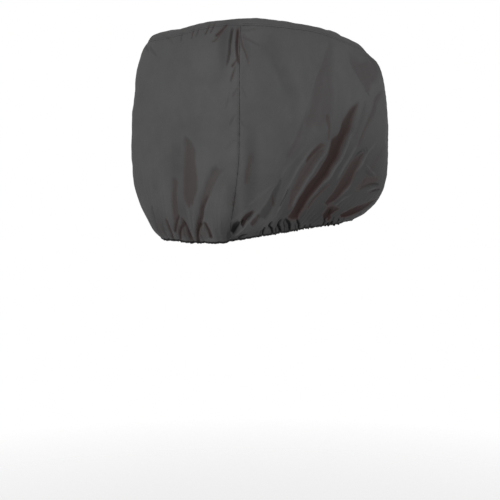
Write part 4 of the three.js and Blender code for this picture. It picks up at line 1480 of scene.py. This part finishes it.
class HOOD_OT_stitching(bpy.types.Operator):
    """Sews the rows of stitches beside the seams and over the hem"""

    bl_idname = "hood.stitching"
    bl_label = "Stitching"

    def execute(self, context):
        sizes, colours = context.scene.hood_sizes, context.scene.hood_colours
        mesh = stitch_mesh("seam_stitching", sizes.stitch_length, sizes.thread_thickness, sizes.stitch_pitch)
        add_piece(mesh.name, mesh, thread_material(colours), CLOTH_SLOT)
        return {"FINISHED"}


# Stage: the camera and the lights of the photograph, in metres, degrees and watts, with the lens and its
# sensor in millimetres. The floor fades out towards its rim.
CAMERA_PLACE = (2.403, -2.467, -0.310)
CAMERA_AZIMUTH = 45.0
CAMERA_ELEVATION = 7.0
CAMERA_LENS = 74.09
SENSOR = 36.0
Light = namedtuple("Light", "name azimuth elevation distance size power")
LIGHTS = [
    Light("key", 43.0, 16.0, 4.2, 1.5, 92.0),
    Light("left", -24.0, 10.0, 4.2, 2.0, 52.0),
    Light("right", 116.0, 10.0, 4.2, 2.0, 52.0),
    Light("top", 30.0, 78.0, 3.6, 2.4, 6.0),
]
LIGHT_TARGET = (0.0, 0.0, -0.33)
FLOOR_HEIGHT = -3.0
FLOOR_RADIUS = 9.0
FLOOR_SIDES = 96
FLOOR_FADE = (3.6, 6.5)
FLOOR_COLOUR = (0.85, 0.85, 0.85)
FLOOR_SHINE = 0.2
FLOOR_GLOW = 0.35
WHITE = (1, 1, 1, 1)
AMBIENT = 0.36
BACKGROUND = 1.0


def direction(azimuth, elevation):
    a, e = math.radians(azimuth), math.radians(elevation)
    return Vector((math.sin(a) * math.cos(e), -math.cos(a) * math.cos(e), math.sin(e)))


class HOOD_OT_studio(bpy.types.Operator):
    """Sets the camera, the lights, the pale floor and the white surroundings"""

    bl_idname = "hood.studio"
    bl_label = "Studio"

    def execute(self, context):
        add_camera(context.scene)
        for row in LIGHTS:
            add_light(context.scene, row)
        add_floor()
        set_world(context.scene)
        context.scene.view_settings.view_transform = "Standard"
        context.scene.view_settings.look = "None"
        return {"FINISHED"}


def look_from(place, back, thing):
    """Places a camera or a light that faces against the direction it stands in"""
    thing.location = place
    thing.rotation_mode = "QUATERNION"
    thing.rotation_quaternion = (-back).to_track_quat("-Z", "Y")


def add_camera(scene):
    lens = bpy.data.cameras.new("photo_camera")
    lens.lens = CAMERA_LENS
    lens.sensor_width = SENSOR
    camera = bpy.data.objects.new("photo_camera", lens)
    scene.collection.objects.link(camera)
    look_from(CAMERA_PLACE, direction(CAMERA_AZIMUTH, CAMERA_ELEVATION), camera)
    scene.camera = camera


def add_light(scene, row):
    lamp = bpy.data.lights.new(row.name, "AREA")
    lamp.shape = "SQUARE"
    lamp.size = row.size
    lamp.energy = row.power
    light = bpy.data.objects.new(row.name, lamp)
    scene.collection.objects.link(light)
    towards = direction(row.azimuth, row.elevation)
    look_from(Vector(LIGHT_TARGET) + towards * row.distance, towards, light)


def add_floor():
    bpy.ops.object.select_all(action="DESELECT")
    bpy.ops.mesh.primitive_circle_add(
        vertices=FLOOR_SIDES, radius=FLOOR_RADIUS, fill_type="NGON", location=(0, 0, FLOOR_HEIGHT)
    )
    floor = bpy.context.object
    floor.name = "studio_floor"
    bpy.ops.object.transform_apply(location=True)
    material, shader = new_material("pale_floor", FLOOR_COLOUR, FLOOR_SHINE)
    nodes = Nodes(material)
    reach = nodes.add("ShaderNodeVectorMath", {0: nodes.place()}, operation="LENGTH").outputs["Value"]
    nodes.set(shader.inputs["Alpha"], nodes.spread(reach, *FLOOR_FADE, 1.0, 0.0))
    shader.inputs["Emission Color"].default_value = WHITE
    shader.inputs["Emission Strength"].default_value = FLOOR_GLOW
    floor.data.materials.append(material)


def set_world(scene):
    """White surroundings, brighter to the camera than to the cloth"""
    world = bpy.data.worlds.new("studio")
    scene.world = world
    world.use_nodes = True
    tree = world.node_tree
    tree.nodes.clear()
    path = tree.nodes.new("ShaderNodeLightPath")
    mix = tree.nodes.new("ShaderNodeMixShader")
    tree.links.new(path.outputs["Is Camera Ray"], mix.inputs[0])
    for socket, strength in ((1, AMBIENT), (2, BACKGROUND)):
        background = tree.nodes.new("ShaderNodeBackground")
        background.inputs["Color"].default_value = WHITE
        background.inputs["Strength"].default_value = strength
        tree.links.new(background.outputs[0], mix.inputs[socket])
    end = tree.nodes.new("ShaderNodeOutputWorld")
    tree.links.new(mix.outputs[0], end.inputs["Surface"])


class HOOD_PT_panel(bpy.types.Panel):
    """Lists the steps that make the hood, with its sizes and colours"""

    bl_idname = "HOOD_PT_panel"
    bl_label = "Cloth Hood"
    bl_space_type = "VIEW_3D"
    bl_region_type = "UI"
    bl_category = "Cloth Hood"

    def draw(self, context):
        for group in (context.scene.hood_sizes, context.scene.hood_colours):
            for name in group.__annotations__:
                self.layout.prop(group, name)
        for operator in OPERATORS:
            self.layout.operator(operator.bl_idname)


OPERATORS = [HOOD_OT_top_panel, HOOD_OT_wall_panels, HOOD_OT_hem_binding, HOOD_OT_stitching, HOOD_OT_studio]
CLASSES = [HoodSizes, HoodColours, *OPERATORS, HOOD_PT_panel]


def register():
    for cls in CLASSES:
        bpy.utils.register_class(cls)
    bpy.types.Scene.hood_sizes = PointerProperty(type=HoodSizes)
    bpy.types.Scene.hood_colours = PointerProperty(type=HoodColours)


def unregister():
    del bpy.types.Scene.hood_sizes
    del bpy.types.Scene.hood_colours
    for cls in reversed(CLASSES):
        bpy.utils.unregister_class(cls)


def main():
    register()
    bpy.ops.hood.top_panel()
    bpy.ops.hood.wall_panels()
    bpy.ops.hood.hem_binding()
    bpy.ops.hood.stitching()
    bpy.ops.hood.studio()


if __name__ == "__main__":
    main()
